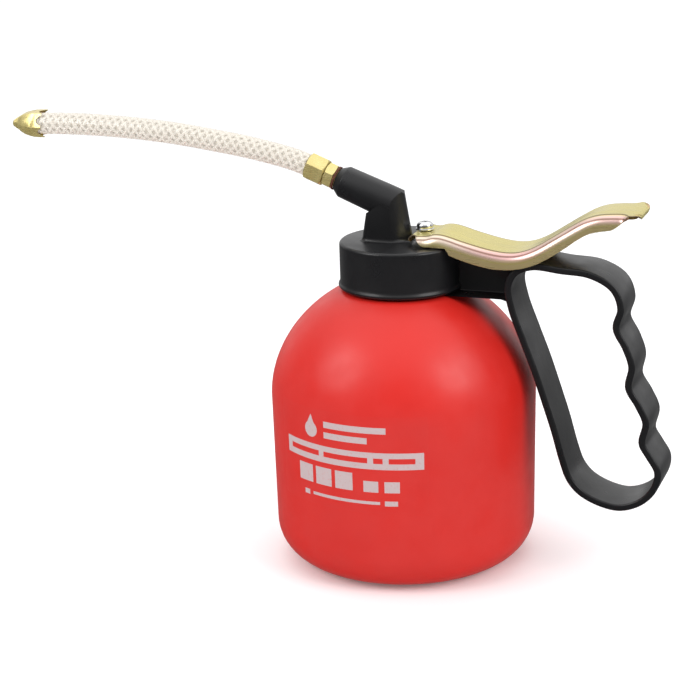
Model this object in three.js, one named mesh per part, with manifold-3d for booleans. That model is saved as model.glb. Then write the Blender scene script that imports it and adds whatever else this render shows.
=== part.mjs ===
// Plastic oil can with a lever pump and a braided spout hose. Millimetres, +Z up.
// The origin is the centre of the bottle's flat base. The handle points along +X, the spout along -X.
// Pressing the lever rocks it on the rear edge of the cap, which lifts the plunger against its spring.
import * as THREE from 'three';
import { mergeVertices } from 'three/addons/utils/BufferGeometryUtils.js';
import Module from 'manifold-3d';

const wasm = await Module();
wasm.setup();

// Gaps
const GAP = 0.3; // between pieces that touch
const SLIDE_GAP = 0.4; // round a piece that slides or turns
const STRADDLE_GAP = 0.35; // between the lever's flanges and the arm
const HOSE_FIT_GAP = 0.35; // between the hose and the nozzle's socket

// Bottle
const BOTTLE_RADIUS = 47;
const BELLY_HEIGHT = 60.75;
const BASE_TAPER = 0.6;
const BASE_FILLET = 14.5;
const DOME_RISE = 42.65;
const DOME_POWER = 1.9;
const BOTTLE_WALL = 2;
const NECK_WALL = 1.6;
const THREAD_RADIUS = 0.9;
const THREAD_PITCH = 4;
const THREAD_TURNS = 1.5;
const GASKET_THICKNESS = 1.2;

// Cap, arm and handle: one moulding
const CAP_RADIUS = 21.5;
const CAP_HEIGHT = 16.6;
const CAP_WALL = 1.6;
const CAP_DECK = 2.2;
const FLANGE_BEAD = 0.6;
const FLANGE_HEIGHT = 2.2;
const STRAP_WIDTH = 19.5;
const STRAP_THICKNESS = 2.4;
const ARM_WEB = 2;
const ARM_RIM = 2.4;

// Lever and its screw
const LEVER_SHEET = 1.2;
const SCREW_SHANK_RADIUS = 1.6;
const SCREW_HEAD_RADIUS = 2.9;
const SCREW_HEAD_HEIGHT = 2;
const WASHER_THICKNESS = 0.5;
const ROD_FLOAT = 1.2; // from the rod's shoulder up to the lever

// Pump
const PUMP_X = 9;
const BARREL_RADIUS = 6.5;
const BARREL_WALL = 1.1;
const BARREL_LENGTH = 42.5;
const ROD_RADIUS = 2;
const GLAND_HEIGHT = 3.6;
const SEAL_HEIGHT = 1.4;
const SPRING_LENGTH = 16.8;
const SPRING_WIRE_RADIUS = 0.45;
const PISTON_HEIGHT = 5;
const PORT_RADIUS = 1.2;
const INLET_BALL_RADIUS = 2.2;
const SEAT_HOLE_RADIUS = 1.4;
const NIPPLE_RADIUS = 3;
const NIPPLE_LENGTH = 4;
const DIP_TUBE_WALL = 1;
const DIP_TUBE_FLOOR_GAP = 7;
const STRAINER_HEIGHT = 8;

// Spout tower, outlet valve and brass fittings
const TOWER_X = -4.5;
const TOWER_FOOT_FRONT = 8.4;
const TOWER_FOOT_REAR = 9.1;
const TOWER_HALF_WIDTH = 6.3;
const ELBOW_X = -5;
const ELBOW_RISE = 13.45; // from the cap's top to the middle of the elbow
const ARM_ANGLE = THREE.MathUtils.degToRad(21.6);
const SPOUT_ARM_RADIUS = 6;
const SPOUT_ARM_LENGTH = 19;
const SPIGOT_RADIUS = 4.4;
const SPIGOT_BORE = 2.6;
const OUTLET_BALL_RADIUS = 2;
const OUTLET_SPRING_LENGTH = 10;
const OUTLET_WIRE_RADIUS = 0.3;
const CONNECTOR_FLATS = 8;
const CONNECTOR_HEX_LENGTH = 3.4;
const CONNECTOR_THREAD_RADIUS = 3.4;
const CONNECTOR_THREAD_LENGTH = 8;
const NUT_FLATS = 9;
const NUT_LENGTH = 6.8;
const HOSE_DIAMETER = 8;
const NOZZLE_LENGTH = 13.6;
const NOZZLE_SOCKET = 3.1;

// Heights and radii that follow from the sizes above
const capBore = CAP_RADIUS - CAP_WALL;
const neckRadius = capBore - SLIDE_GAP - THREAD_RADIUS - 0.2;
const neckBore = neckRadius - NECK_WALL;
const shoulderRadius = CAP_RADIUS - 0.5;
const shoulderZ = domeHeight(shoulderRadius, BOTTLE_RADIUS, DOME_RISE);
const capBase = shoulderZ + GAP;
const capTop = capBase + CAP_HEIGHT;
const deckUnder = capTop - CAP_DECK;
const neckTop = deckUnder - 2 * GAP - GASKET_THICKNESS;
const leverHalf = STRAP_WIDTH / 2 + STRADDLE_GAP + LEVER_SHEET;
const capEdgeX = Math.sqrt(CAP_RADIUS ** 2 - (leverHalf - LEVER_SHEET) ** 2);
const handleShift = BOTTLE_RADIUS - 47;
const plateTop = capTop + 3.85; // the lever's flat round the screw
const rodTop = plateTop - LEVER_SHEET - ROD_FLOAT;
const barrelTop = deckUnder - GAP;
const barrelBottom = barrelTop - BARREL_LENGTH;
const barrelBore = BARREL_RADIUS - BARREL_WALL;
const glandTop = barrelTop - GAP;
const sealTop = glandTop - GLAND_HEIGHT - GAP;
const sealSeat = sealTop - SEAL_HEIGHT - GAP;
const chamberTop = sealSeat - 1.2;
const portZ = chamberTop - PORT_RADIUS - 0.7;
const springTop = chamberTop - GAP;
const pistonTop = springTop - SPRING_LENGTH - GAP;
const pistonBottom = pistonTop - PISTON_HEIGHT;
const nippleTop = barrelBottom + NIPPLE_LENGTH;
const inletSeatZ = nippleTop + 2;
const inletBallZ = ballOnCone(inletSeatZ - SEAT_HOLE_RADIUS, INLET_BALL_RADIUS);
const tubeBore = NIPPLE_RADIUS + GAP;
const tubeRadius = tubeBore + DIP_TUBE_WALL;
const tubeTop = nippleTop - GAP;
const tubeBottom = BOTTLE_WALL + DIP_TUBE_FLOOR_GAP;
const spigotBottom = deckUnder - 3.2;
const seatTop = spigotBottom - 1.7;
const seatBottom = seatTop - 2.4;
const outletBallZ = ballOnCone(seatTop - 2.7, OUTLET_BALL_RADIUS);
const outletSpringFoot = outletBallZ + OUTLET_BALL_RADIUS + GAP;
const elbow = new THREE.Vector3(ELBOW_X, 0, capTop + ELBOW_RISE);
const spoutAxis = new THREE.Vector3(-Math.cos(ARM_ANGLE), 0, Math.sin(ARM_ANGLE));
const washerStart = SPOUT_ARM_LENGTH + GAP;
const connectorStart = washerStart + WASHER_THICKNESS + GAP;
const connectorEnd = connectorStart + CONNECTOR_HEX_LENGTH;
const nutStart = connectorEnd + GAP;
const nutEnd = nutStart + NUT_LENGTH;
const hoseStart = alongSpout(nutEnd + GAP);
const headShiftZ = capTop - 115.15;

// The hose's middle line, from the nut to the nozzle's socket, as offsets from where it starts
const HOSE_ROUTE = [
  [0, 0], [-4, 1.4], [-8.5, 2.6], [-13.5, 3.7], [-19.5, 4.9], [-26.5, 6.1], [-33.5, 7.1], [-41.5, 8.2],
  [-50.5, 9.3], [-59.5, 10.1], [-68.5, 10.7], [-77.5, 11.1], [-86.5, 11.3], [-95.5, 11.25], [-105.3, 11],
];

// Helpers

function domeHeight(radius, domeRadius, rise) {
  return BELLY_HEIGHT + rise * (1 - (radius / domeRadius) ** DOME_POWER) ** (1 / DOME_POWER);
}

// The height of a ball's centre that leaves GAP to a 45 degree cone whose point is at apexZ
function ballOnCone(apexZ, ballRadius) {
  return apexZ + Math.SQRT2 * (ballRadius + GAP);
}

function alongSpout(distance) {
  return elbow.clone().addScaledVector(spoutAxis, distance);
}

// Turns the triangles round where they face into the body
function facingOut(geometry) {
  const p = geometry.attributes.position;
  const index = geometry.index.array;
  const [a, b, c] = [new THREE.Vector3(), new THREE.Vector3(), new THREE.Vector3()];
  let volume = 0;
  for (let i = 0; i < index.length; i += 3) {
    a.fromBufferAttribute(p, index[i]);
    b.fromBufferAttribute(p, index[i + 1]);
    c.fromBufferAttribute(p, index[i + 2]);
    volume += a.dot(b.cross(c));
  }
  if (volume < 0) {
    for (let i = 0; i < index.length; i += 3) {
      [index[i + 1], index[i + 2]] = [index[i + 2], index[i + 1]];
    }
  }
  return geometry;
}

function toSolid(geometry) {
  geometry.deleteAttribute('normal');
  geometry.deleteAttribute('uv');
  const merged = facingOut(mergeVertices(geometry, 1e-4));
  const solid = new wasm.Manifold(new wasm.Mesh({
    numProp: 3,
    vertProperties: new Float32Array(merged.attributes.position.array),
    triVerts: new Uint32Array(merged.index.array),
  }));
  return solid;
}

function toGeometry(solid) {
  const mesh = solid.getMesh();
  const geometry = new THREE.BufferGeometry();
  geometry.setAttribute('position', new THREE.BufferAttribute(mesh.vertProperties, 3));
  geometry.setIndex(new THREE.BufferAttribute(mesh.triVerts, 1));
  geometry.computeVertexNormals();
  return geometry;
}

// A turned solid about the vertical line at x, from [radius, height] pairs that start and end on the axis
function turned(profile, segments, x = 0) {
  const points = profile.map(([r, z]) => new THREE.Vector2(r, z));
  const geometry = new THREE.LatheGeometry(points, segments);
  geometry.rotateX(Math.PI / 2);
  geometry.translate(x, 0, 0);
  return toSolid(geometry);
}

// A turned ring, whose profile closes on itself
function ring(profile, segments, x = 0) {
  return turned([...profile, profile[0]], segments, x);
}

function post(radius, low, high, segments = 24, x = 0) {
  return turned([[0, low], [radius, low], [radius, high], [0, high]], segments, x);
}

// Moves a solid whose axis is Z from the origin to a point, with its +Z turned along a direction
function placeAlong(geometry, point, direction) {
  const turn = new THREE.Quaternion().setFromUnitVectors(new THREE.Vector3(0, 0, 1), direction);
  geometry.applyQuaternion(turn);
  geometry.translate(point.x, point.y, point.z);
  return toSolid(geometry);
}

function turnedAlong(profile, segments, point, direction) {
  const points = profile.map(([r, z]) => new THREE.Vector2(r, z));
  const geometry = new THREE.LatheGeometry(points, segments);
  geometry.rotateX(Math.PI / 2);
  return placeAlong(geometry, point, direction);
}

function hexAlong(flats, low, high, point, direction, turn = HEX_TURN) {
  const geometry = new THREE.CylinderGeometry(flats / Math.sqrt(3), flats / Math.sqrt(3), high - low, 6);
  geometry.rotateX(Math.PI / 2);
  geometry.rotateZ(turn);
  geometry.translate(0, 0, (low + high) / 2);
  return placeAlong(geometry, point, direction);
}

const HEX_TURN = THREE.MathUtils.degToRad(22);
const NOZZLE_TURN = HEX_TURN + Math.PI / 6; // a flat of the nozzle faces forward

// A side view outline of [x, z] pairs, made as wide as width across Y
function sidePrism(outline, width, y = 0) {
  const shape = new THREE.Shape(outline.map(([x, z]) => new THREE.Vector2(x, z)));
  const geometry = new THREE.ExtrudeGeometry(shape, { depth: width, bevelEnabled: false });
  geometry.translate(0, 0, -width / 2);
  geometry.rotateX(Math.PI / 2);
  geometry.translate(0, y, 0);
  return toSolid(geometry);
}

function planPrism(outline, low, high) {
  const shape = new THREE.Shape(outline.map(([x, y]) => new THREE.Vector2(x, y)));
  const geometry = new THREE.ExtrudeGeometry(shape, { depth: high - low, bevelEnabled: false });
  geometry.translate(0, 0, low);
  return toSolid(geometry);
}

function smoothLine(points, count, closed = false) {
  const curve = new THREE.CatmullRomCurve3(
    points.map(([x, z]) => new THREE.Vector3(x, 0, z)), closed, 'centripetal',
  );
  const samples = curve.getSpacedPoints(count).map((p) => [p.x, p.z]);
  return closed ? samples.slice(0, -1) : samples;
}

// The same line, moved sideways to its left by distance
function offsetLine(points, distance, closed = false) {
  const last = points.length - 1;
  return points.map(([x, z], i) => {
    const before = points[i > 0 ? i - 1 : closed ? last : 0];
    const after = points[i < last ? i + 1 : closed ? 0 : last];
    const length = Math.hypot(after[0] - before[0], after[1] - before[1]);
    const left = [-(after[1] - before[1]) / length, (after[0] - before[0]) / length];
    return [x + left[0] * distance, z + left[1] * distance];
  });
}

function arc(centre, radius, from, to, steps) {
  return Array.from({ length: steps + 1 }, (_, i) => {
    const angle = from + ((to - from) * i) / steps;
    return [centre[0] + radius * Math.cos(angle), centre[1] + radius * Math.sin(angle)];
  });
}

// Round wire or ridge along a helix about the vertical line at x
function helix(radius, wireRadius, low, high, turns, stepsPerTurn, sides, x) {
  const curve = new THREE.Curve();
  curve.getPoint = (t, target = new THREE.Vector3()) => {
    const angle = 2 * Math.PI * turns * t;
    return target.set(x + radius * Math.cos(angle), radius * Math.sin(angle), low + (high - low) * t);
  };
  const section = new THREE.Shape(
    Array.from({ length: sides }, (_, i) => new THREE.Vector2(
      wireRadius * Math.cos((2 * Math.PI * i) / sides),
      wireRadius * Math.sin((2 * Math.PI * i) / sides),
    )),
  );
  return new THREE.ExtrudeGeometry(section, {
    steps: Math.round(turns * stepsPerTurn),
    extrudePath: curve,
    bevelEnabled: false,
  });
}

// Bottle

function bottle() {
  const wallRadius = BOTTLE_RADIUS - BASE_TAPER;
  const innerRadius = BOTTLE_RADIUS - BOTTLE_WALL;
  const innerFillet = BASE_FILLET - BOTTLE_WALL;
  const dome = (radius, rise, from, to, steps) => Array.from({ length: steps + 1 }, (_, i) => {
    const lean = Math.asin(from / radius) + ((Math.asin(to / radius) - Math.asin(from / radius)) * i) / steps;
    const r = radius * Math.sin(lean);
    return [r, domeHeight(r, radius, rise)];
  });
  const outer = [
    [0, 0],
    ...arc([wallRadius - BASE_FILLET, BASE_FILLET], BASE_FILLET, -Math.PI / 2, 0, 5),
    ...dome(BOTTLE_RADIUS, DOME_RISE, BOTTLE_RADIUS, shoulderRadius, 9),
    [neckRadius, shoulderZ],
    [neckRadius, neckTop],
  ];
  const inner = [
    [neckBore, neckTop],
    ...dome(innerRadius, DOME_RISE - 1.5 * BOTTLE_WALL, neckBore, innerRadius, 6),
    ...arc([innerRadius - BASE_TAPER - innerFillet, BASE_FILLET], innerFillet, 0, -Math.PI / 2, 4),
    [0, BOTTLE_WALL],
  ];
  const threadLow = shoulderZ + 3;
  const thread = helix(
    neckRadius + 0.2, THREAD_RADIUS, threadLow, threadLow + THREAD_PITCH * THREAD_TURNS,
    THREAD_TURNS, 20, 6, 0,
  );
  return turned([...outer, ...inner], 36).add(toSolid(thread));
}

function neckGasket() {
  const low = neckTop + GAP;
  return ring([
    [neckBore, low],
    [neckRadius, low],
    [neckRadius, low + GASKET_THICKNESS],
    [neckBore, low + GASKET_THICKNESS],
  ], 36);
}

// Cap, arm and handle

function cap() {
  const flange = CAP_RADIUS + FLANGE_BEAD;
  return turned([
    [0, capTop],
    [CAP_RADIUS - 0.8, capTop],
    [CAP_RADIUS - 0.2, capTop - 0.3],
    [CAP_RADIUS, capTop - 0.9],
    [CAP_RADIUS, capBase + FLANGE_HEIGHT],
    [flange, capBase + FLANGE_HEIGHT - 0.7],
    [flange, capBase + 0.6],
    [CAP_RADIUS, capBase],
    [capBore, capBase],
    [capBore, deckUnder],
    [0, deckUnder],
  ], 48);
}

// The middle line of the handle's strap: down the front, round the bottom, up the finger grip at the rear
function strapLine() {
  const line = [
    [41.1, 103.2], [42.3, 95.6], [46.4, 84.4], [50.4, 74], [54, 63.4], [57.4, 52.9], [60.4, 42.2],
    [62.9, 35.7], [66.8, 31.4], [73.9, 28.1], [80.8, 27.3], [87.8, 30.2], [92.3, 35.6], [93.3, 41.5],
    [90.3, 46.8], [87.8, 51.3], [89, 58.5], [86.4, 64.5], [82.9, 70.7], [83.9, 78], [81.8, 84.4],
    [78.4, 91.2], [79.9, 98], [77.3, 104.6], [69.6, 108.9], [59.4, 109.9], [49.4, 110.6], [43.6, 108.2],
  ];
  return line.map(([x, z]) => [x + handleShift, z + headShiftZ]);
}

function strap() {
  const middle = smoothLine(strapLine(), 64, true);
  const inside = offsetLine(middle, STRAP_THICKNESS / 2, true);
  const outside = offsetLine(middle, -STRAP_THICKNESS / 2, true);
  return sidePrism(outside, STRAP_WIDTH).subtract(sidePrism(inside, STRAP_WIDTH + 2));
}

function arm() {
  const x = handleShift;
  const z = headShiftZ;
  const root = CAP_RADIUS - 4;
  const outline = [
    [root, capTop - 0.4], [43.6 + x, 109 + z], [41.4 + x, 105 + z], [41.1 + x, 100 + z],
    [41.9 + x, 96.6 + z], [40 + x, capBase], [root, capBase],
  ];
  const inside = [
    [CAP_RADIUS - 1, capTop - 4.2], [40.6 + x, 107.4 + z], [39.4 + x, 105 + z], [39 + x, 101.4 + z],
    [CAP_RADIUS - 1, capBase + ARM_RIM],
  ];
  const pocketWidth = STRAP_WIDTH / 2 - ARM_WEB / 2;
  const pocketY = ARM_WEB / 2 + pocketWidth / 2 + 0.5;
  return sidePrism(outline, STRAP_WIDTH)
    .subtract(sidePrism(inside, pocketWidth + 1, pocketY))
    .subtract(sidePrism(inside, pocketWidth + 1, -pocketY))
    .subtract(post(capBore, capBase - 5, deckUnder, 48));
}

function headAndHandle() {
  const rodHole = post(ROD_RADIUS + SLIDE_GAP, deckUnder - 1, capTop + 1, 20, PUMP_X);
  const spigotHole = post(SPIGOT_RADIUS + GAP, deckUnder - 1, capTop + 1, 28, TOWER_X);
  return cap().add(arm()).add(strap()).subtract(rodHole).subtract(spigotHole);
}

// Lever

function leverTopLine() {
  const front = [
    [PUMP_X - 3.9, capTop + 1.6], [PUMP_X - 3.5, plateTop - 1.1], [PUMP_X - 2.3, plateTop - 0.2],
    [PUMP_X + 3.3, plateTop + 0.02], [PUMP_X + 5.8, capTop + 4.55], [capEdgeX - 1.5, capTop + 4.6],
  ];
  const rear = [
    [21, 119], [24, 118.1], [28, 117.05], [32, 116.1], [36, 115.35], [40, 114.95], [44, 115.2],
    [48, 116.4], [52, 118.45], [56, 121], [60, 123.6], [64, 126.1], [68, 128.3], [72, 129.6], [76, 130.15],
    [80, 130.4], [84, 130.4], [86.2, 130.2], [86.9, 129.3], [86.4, 127.9],
  ];
  return [...front, ...rear.map(([x, z]) => [x + handleShift, z + headShiftZ])];
}

function leverFlangeOutline() {
  const bottom = [
    [28.4, 110.9], [35, 109.5], [41, 109.2], [46, 109.7], [51, 111.4], [56, 114.3], [61.3, 118.1],
    [65, 120.9], [69.3, 123.4], [73, 124.4], [77, 125.2], [79.5, 127], [81.5, 129.4],
  ].map(([x, z]) => [x + handleShift, z + headShiftZ]);
  const top = smoothLine(leverTopLine(), 60).filter(
    ([x, z]) => x > PUMP_X + 0.8 && x < 82 + handleShift && z > capTop - 1,
  );
  const notch = [
    [PUMP_X + 0.5, plateTop - 1.2], [PUMP_X + 1.3, capTop + 1.35], [PUMP_X + 2.8, capTop + 0.6],
    [PUMP_X + 6, capTop + STRADDLE_GAP], [capEdgeX + 0.4, capTop + STRADDLE_GAP],
    [capEdgeX + 1.5, capTop - 0.9], [capEdgeX + 1.9, capTop - 1.9], [capEdgeX + 4.3, capTop - 2.8],
  ];
  return [...notch, ...bottom, ...offsetLine(top, -LEVER_SHEET / 2).reverse()];
}

function leverPlan() {
  const rearX = 86.8 + handleShift;
  const wide = leverHalf;
  const side = [
    [PUMP_X - 5, 7.4], [PUMP_X - 1.4, 8], [PUMP_X + 0.4, wide], [rearX - 3.4, wide],
    [rearX - 1.9, wide - 1], [rearX - 0.8, wide - 3], [rearX - 0.2, wide - 6], [rearX, wide - 9],
  ];
  const mirrored = side.slice().reverse().map(([x, y]) => [x, -y]);
  return [...side, ...mirrored];
}

function lever() {
  const top = smoothLine(leverTopLine(), 60);
  const plate = sidePrism([...top, ...offsetLine(top, -LEVER_SHEET).reverse()], 2 * leverHalf);
  const flangeY = leverHalf - LEVER_SHEET / 2;
  const flanges = [-flangeY, flangeY].map((y) => sidePrism(leverFlangeOutline(), LEVER_SHEET, y));
  const plan = planPrism(leverPlan(), capTop - 20, capTop + 30);
  const slotReach = SCREW_SHANK_RADIUS + SLIDE_GAP;
  const slot = planPrism([
    ...arc([PUMP_X + 0.2, 0], slotReach, -Math.PI / 2, Math.PI / 2, 6),
    ...arc([PUMP_X - 0.6, 0], slotReach, Math.PI / 2, (3 * Math.PI) / 2, 6),
  ], plateTop - 2, plateTop + 1);
  return plate.add(flanges[0]).add(flanges[1]).intersect(plan).subtract(slot);
}

// Plunger: rod, screw, piston and seals

function plungerRod() {
  const shankHole = post(SCREW_SHANK_RADIUS + GAP, rodTop - 8, rodTop + 1, 16, PUMP_X);
  const stemRadius = 1.4;
  return turned([
    [0, rodTop],
    [ROD_RADIUS - 0.3, rodTop],
    [ROD_RADIUS, rodTop - 0.4],
    [ROD_RADIUS, pistonTop + GAP],
    [stemRadius, pistonTop + GAP],
    [stemRadius, pistonTop - 1.6],
    [0, pistonTop - 1.6],
  ], 24, PUMP_X).subtract(shankHole);
}

function leverScrew() {
  const seat = plateTop + 0.35 + WASHER_THICKNESS + GAP;
  const headTop = seat + SCREW_HEAD_HEIGHT;
  const slotDepth = 0.9;
  const head = turned([
    [0, rodTop - 7],
    [SCREW_SHANK_RADIUS, rodTop - 7],
    [SCREW_SHANK_RADIUS, seat],
    [SCREW_HEAD_RADIUS, seat],
    [SCREW_HEAD_RADIUS, headTop - 0.9],
    [SCREW_HEAD_RADIUS - 0.8, headTop - 0.2],
    [0, headTop],
  ], 24, PUMP_X);
  const bar = (wide, deep) => planPrism([
    [PUMP_X - wide / 2, -deep / 2], [PUMP_X + wide / 2, -deep / 2],
    [PUMP_X + wide / 2, deep / 2], [PUMP_X - wide / 2, deep / 2],
  ], headTop - slotDepth, headTop + 1);
  return head.subtract(bar(3.2, 0.7)).subtract(bar(0.7, 3.2));
}

function screwWasher() {
  const low = plateTop + 0.35;
  return ring([
    [SCREW_SHANK_RADIUS + GAP, low],
    [SCREW_HEAD_RADIUS + 0.3, low],
    [SCREW_HEAD_RADIUS + 0.3, low + WASHER_THICKNESS],
    [SCREW_SHANK_RADIUS + GAP, low + WASHER_THICKNESS],
  ], 24, PUMP_X);
}

function piston() {
  const radius = barrelBore - SLIDE_GAP;
  const groove = radius - 1;
  const middle = (pistonTop + pistonBottom) / 2;
  const body = turned([
    [0, pistonTop],
    [radius, pistonTop],
    [radius, middle + 1],
    [groove, middle + 1],
    [groove, middle - 1],
    [radius, middle - 1],
    [radius, pistonBottom],
    [0, pistonBottom],
  ], 28, PUMP_X);
  const stemHole = post(1.4 + GAP, pistonTop - 1.9, pistonTop + 1, 16, PUMP_X);
  const valveHole = post(0.8, pistonBottom - 1, pistonTop - 1, 12, PUMP_X);
  const ballPocket = turned([
    [0, pistonBottom - 1],
    [1.5, pistonBottom - 1],
    [1.5, pistonBottom + 1.7],
    [0.8, pistonBottom + 2.4],
    [0, pistonBottom + 2.4],
  ], 16, PUMP_X);
  const passage = post(0.6, pistonBottom - 1, pistonTop + 1, 10, PUMP_X + 3);
  return body.subtract(stemHole).subtract(valveHole).subtract(ballPocket).subtract(passage);
}

function pistonRing() {
  const outer = barrelBore - 0.1;
  const inner = barrelBore - SLIDE_GAP - 1 + 0.2;
  const middle = (pistonTop + pistonBottom) / 2;
  const half = 1 - GAP;
  return ring([
    [inner, middle - half], [outer, middle - half], [outer, middle + half], [inner, middle + half],
  ], 28, PUMP_X);
}

function returnSpring() {
  const radius = (ROD_RADIUS + barrelBore) / 2 + 0.2;
  const low = pistonTop + GAP + SPRING_WIRE_RADIUS;
  const high = springTop - SPRING_WIRE_RADIUS;
  return toSolid(helix(radius, SPRING_WIRE_RADIUS, low, high, 6, 12, 5, PUMP_X));
}

// Barrel, gland, inlet valve, dip tube

function pumpBarrel() {
  const glandBore = 4.2;
  const cage = INLET_BALL_RADIUS + 0.5;
  const body = turned([
    [0, barrelTop],
    [BARREL_RADIUS, barrelTop],
    [BARREL_RADIUS, nippleTop + 1],
    [BARREL_RADIUS - 1, nippleTop],
    [NIPPLE_RADIUS, nippleTop],
    [NIPPLE_RADIUS, barrelBottom],
    [0, barrelBottom],
  ], 32, PUMP_X);
  const inside = turned([
    [0, barrelTop + 1],
    [glandBore, barrelTop + 1],
    [glandBore, sealSeat],
    [ROD_RADIUS + SLIDE_GAP, sealSeat],
    [ROD_RADIUS + SLIDE_GAP, chamberTop],
    [barrelBore, chamberTop],
    [barrelBore, inletSeatZ + 4.3],
    [cage, inletSeatZ + 4.3],
    [cage, inletSeatZ + cage - SEAT_HOLE_RADIUS],
    [SEAT_HOLE_RADIUS, inletSeatZ],
    [SEAT_HOLE_RADIUS, barrelBottom - 1],
    [0, barrelBottom - 1],
  ], 32, PUMP_X);
  return body.subtract(inside).subtract(portBore(PUMP_X));
}

// The level passage from the pump chamber to the outlet valve
function portBore(fromX) {
  const length = fromX - TOWER_X;
  return turnedAlong(
    [[0, 0], [PORT_RADIUS, 0], [PORT_RADIUS, length], [0, length]], 12,
    new THREE.Vector3(fromX, 0, portZ), new THREE.Vector3(-1, 0, 0),
  );
}

function rodGland() {
  const inner = ROD_RADIUS + SLIDE_GAP;
  return ring([
    [inner, glandTop - GLAND_HEIGHT], [3.9, glandTop - GLAND_HEIGHT], [3.9, glandTop], [inner, glandTop],
  ], 24, PUMP_X);
}

function rodSeal() {
  const inner = ROD_RADIUS + 0.1;
  return ring([
    [inner, sealTop - SEAL_HEIGHT], [3.9, sealTop - SEAL_HEIGHT], [3.9, sealTop], [inner, sealTop],
  ], 24, PUMP_X);
}

function ball(radius, z, x) {
  const geometry = new THREE.SphereGeometry(radius, 16, 10);
  geometry.rotateX(Math.PI / 2);
  geometry.translate(x, 0, z);
  return toSolid(geometry);
}

function dipTube() {
  return ring([
    [tubeBore, tubeBottom], [tubeRadius, tubeBottom], [tubeRadius, tubeTop], [tubeBore, tubeTop],
  ], 24, PUMP_X);
}

function strainer() {
  const inner = tubeRadius + GAP;
  const outer = inner + 1;
  const low = tubeBottom - 3.5;
  const cup = turned([
    [0, low],
    [outer, low],
    [outer, low + STRAINER_HEIGHT],
    [inner, low + STRAINER_HEIGHT],
    [inner, low + 1.2],
    [0, low + 1.2],
  ], 24, PUMP_X);
  const slot = (angle) => planPrism([
    [0, -0.5], [outer + 1, -0.5], [outer + 1, 0.5], [0, 0.5],
  ].map(([x, y]) => [
    PUMP_X + x * Math.cos(angle) - y * Math.sin(angle), x * Math.sin(angle) + y * Math.cos(angle),
  ]), low - 1, low + 3);
  return [0, 1, 2, 3, 4, 5].reduce((left, i) => left.subtract(slot((i * Math.PI) / 3)), cup);
}

// Outlet block, valve and tower

function outletBlock() {
  const right = PUMP_X - BARREL_RADIUS - GAP;
  const left = TOWER_X - 5.7;
  const low = portZ - PORT_RADIUS - 1.8;
  const bores = turned([
    [0, portZ],
    [SEAT_HOLE_RADIUS + 0.1, portZ],
    [SEAT_HOLE_RADIUS + 0.1, seatBottom - GAP],
    [4, seatBottom - GAP],
    [4, spigotBottom - GAP],
    [SPIGOT_RADIUS + GAP, spigotBottom - GAP],
    [SPIGOT_RADIUS + GAP, barrelTop + 1],
    [0, barrelTop + 1],
  ], 28, TOWER_X);
  return planPrism([[left, -5.5], [right, -5.5], [right, 5.5], [left, 5.5]], low, barrelTop)
    .subtract(bores)
    .subtract(portBore(right + 1));
}

function outletSeat() {
  const hole = SEAT_HOLE_RADIUS + 0.1;
  return ring([
    [hole, seatBottom], [3.7, seatBottom], [3.7, seatTop], [2.7, seatTop], [hole, seatTop - 2.7 + hole],
  ], 24, TOWER_X);
}

function outletSpring() {
  const radius = SPIGOT_BORE - SLIDE_GAP - OUTLET_WIRE_RADIUS;
  const low = outletSpringFoot + OUTLET_WIRE_RADIUS;
  const high = outletSpringFoot + OUTLET_SPRING_LENGTH - OUTLET_WIRE_RADIUS;
  return toSolid(helix(radius, OUTLET_WIRE_RADIUS, low, high, 5, 9, 5, TOWER_X));
}

function towerFoot() {
  const front = TOWER_X - TOWER_FOOT_FRONT;
  const rear = TOWER_X + TOWER_FOOT_REAR;
  const turn = -1.5;
  const half = [
    [front, 2.9], [front + 2.8, TOWER_HALF_WIDTH], [turn, TOWER_HALF_WIDTH],
    ...arc([turn, 0], 1, Math.PI / 2, 0, 7).slice(1).map(([x, y]) => [
      turn + (x - turn) * (rear - turn), y * TOWER_HALF_WIDTH,
    ]),
  ];
  return [...half, ...half.slice(0, -1).reverse().map(([x, y]) => [x, -y])];
}

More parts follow.
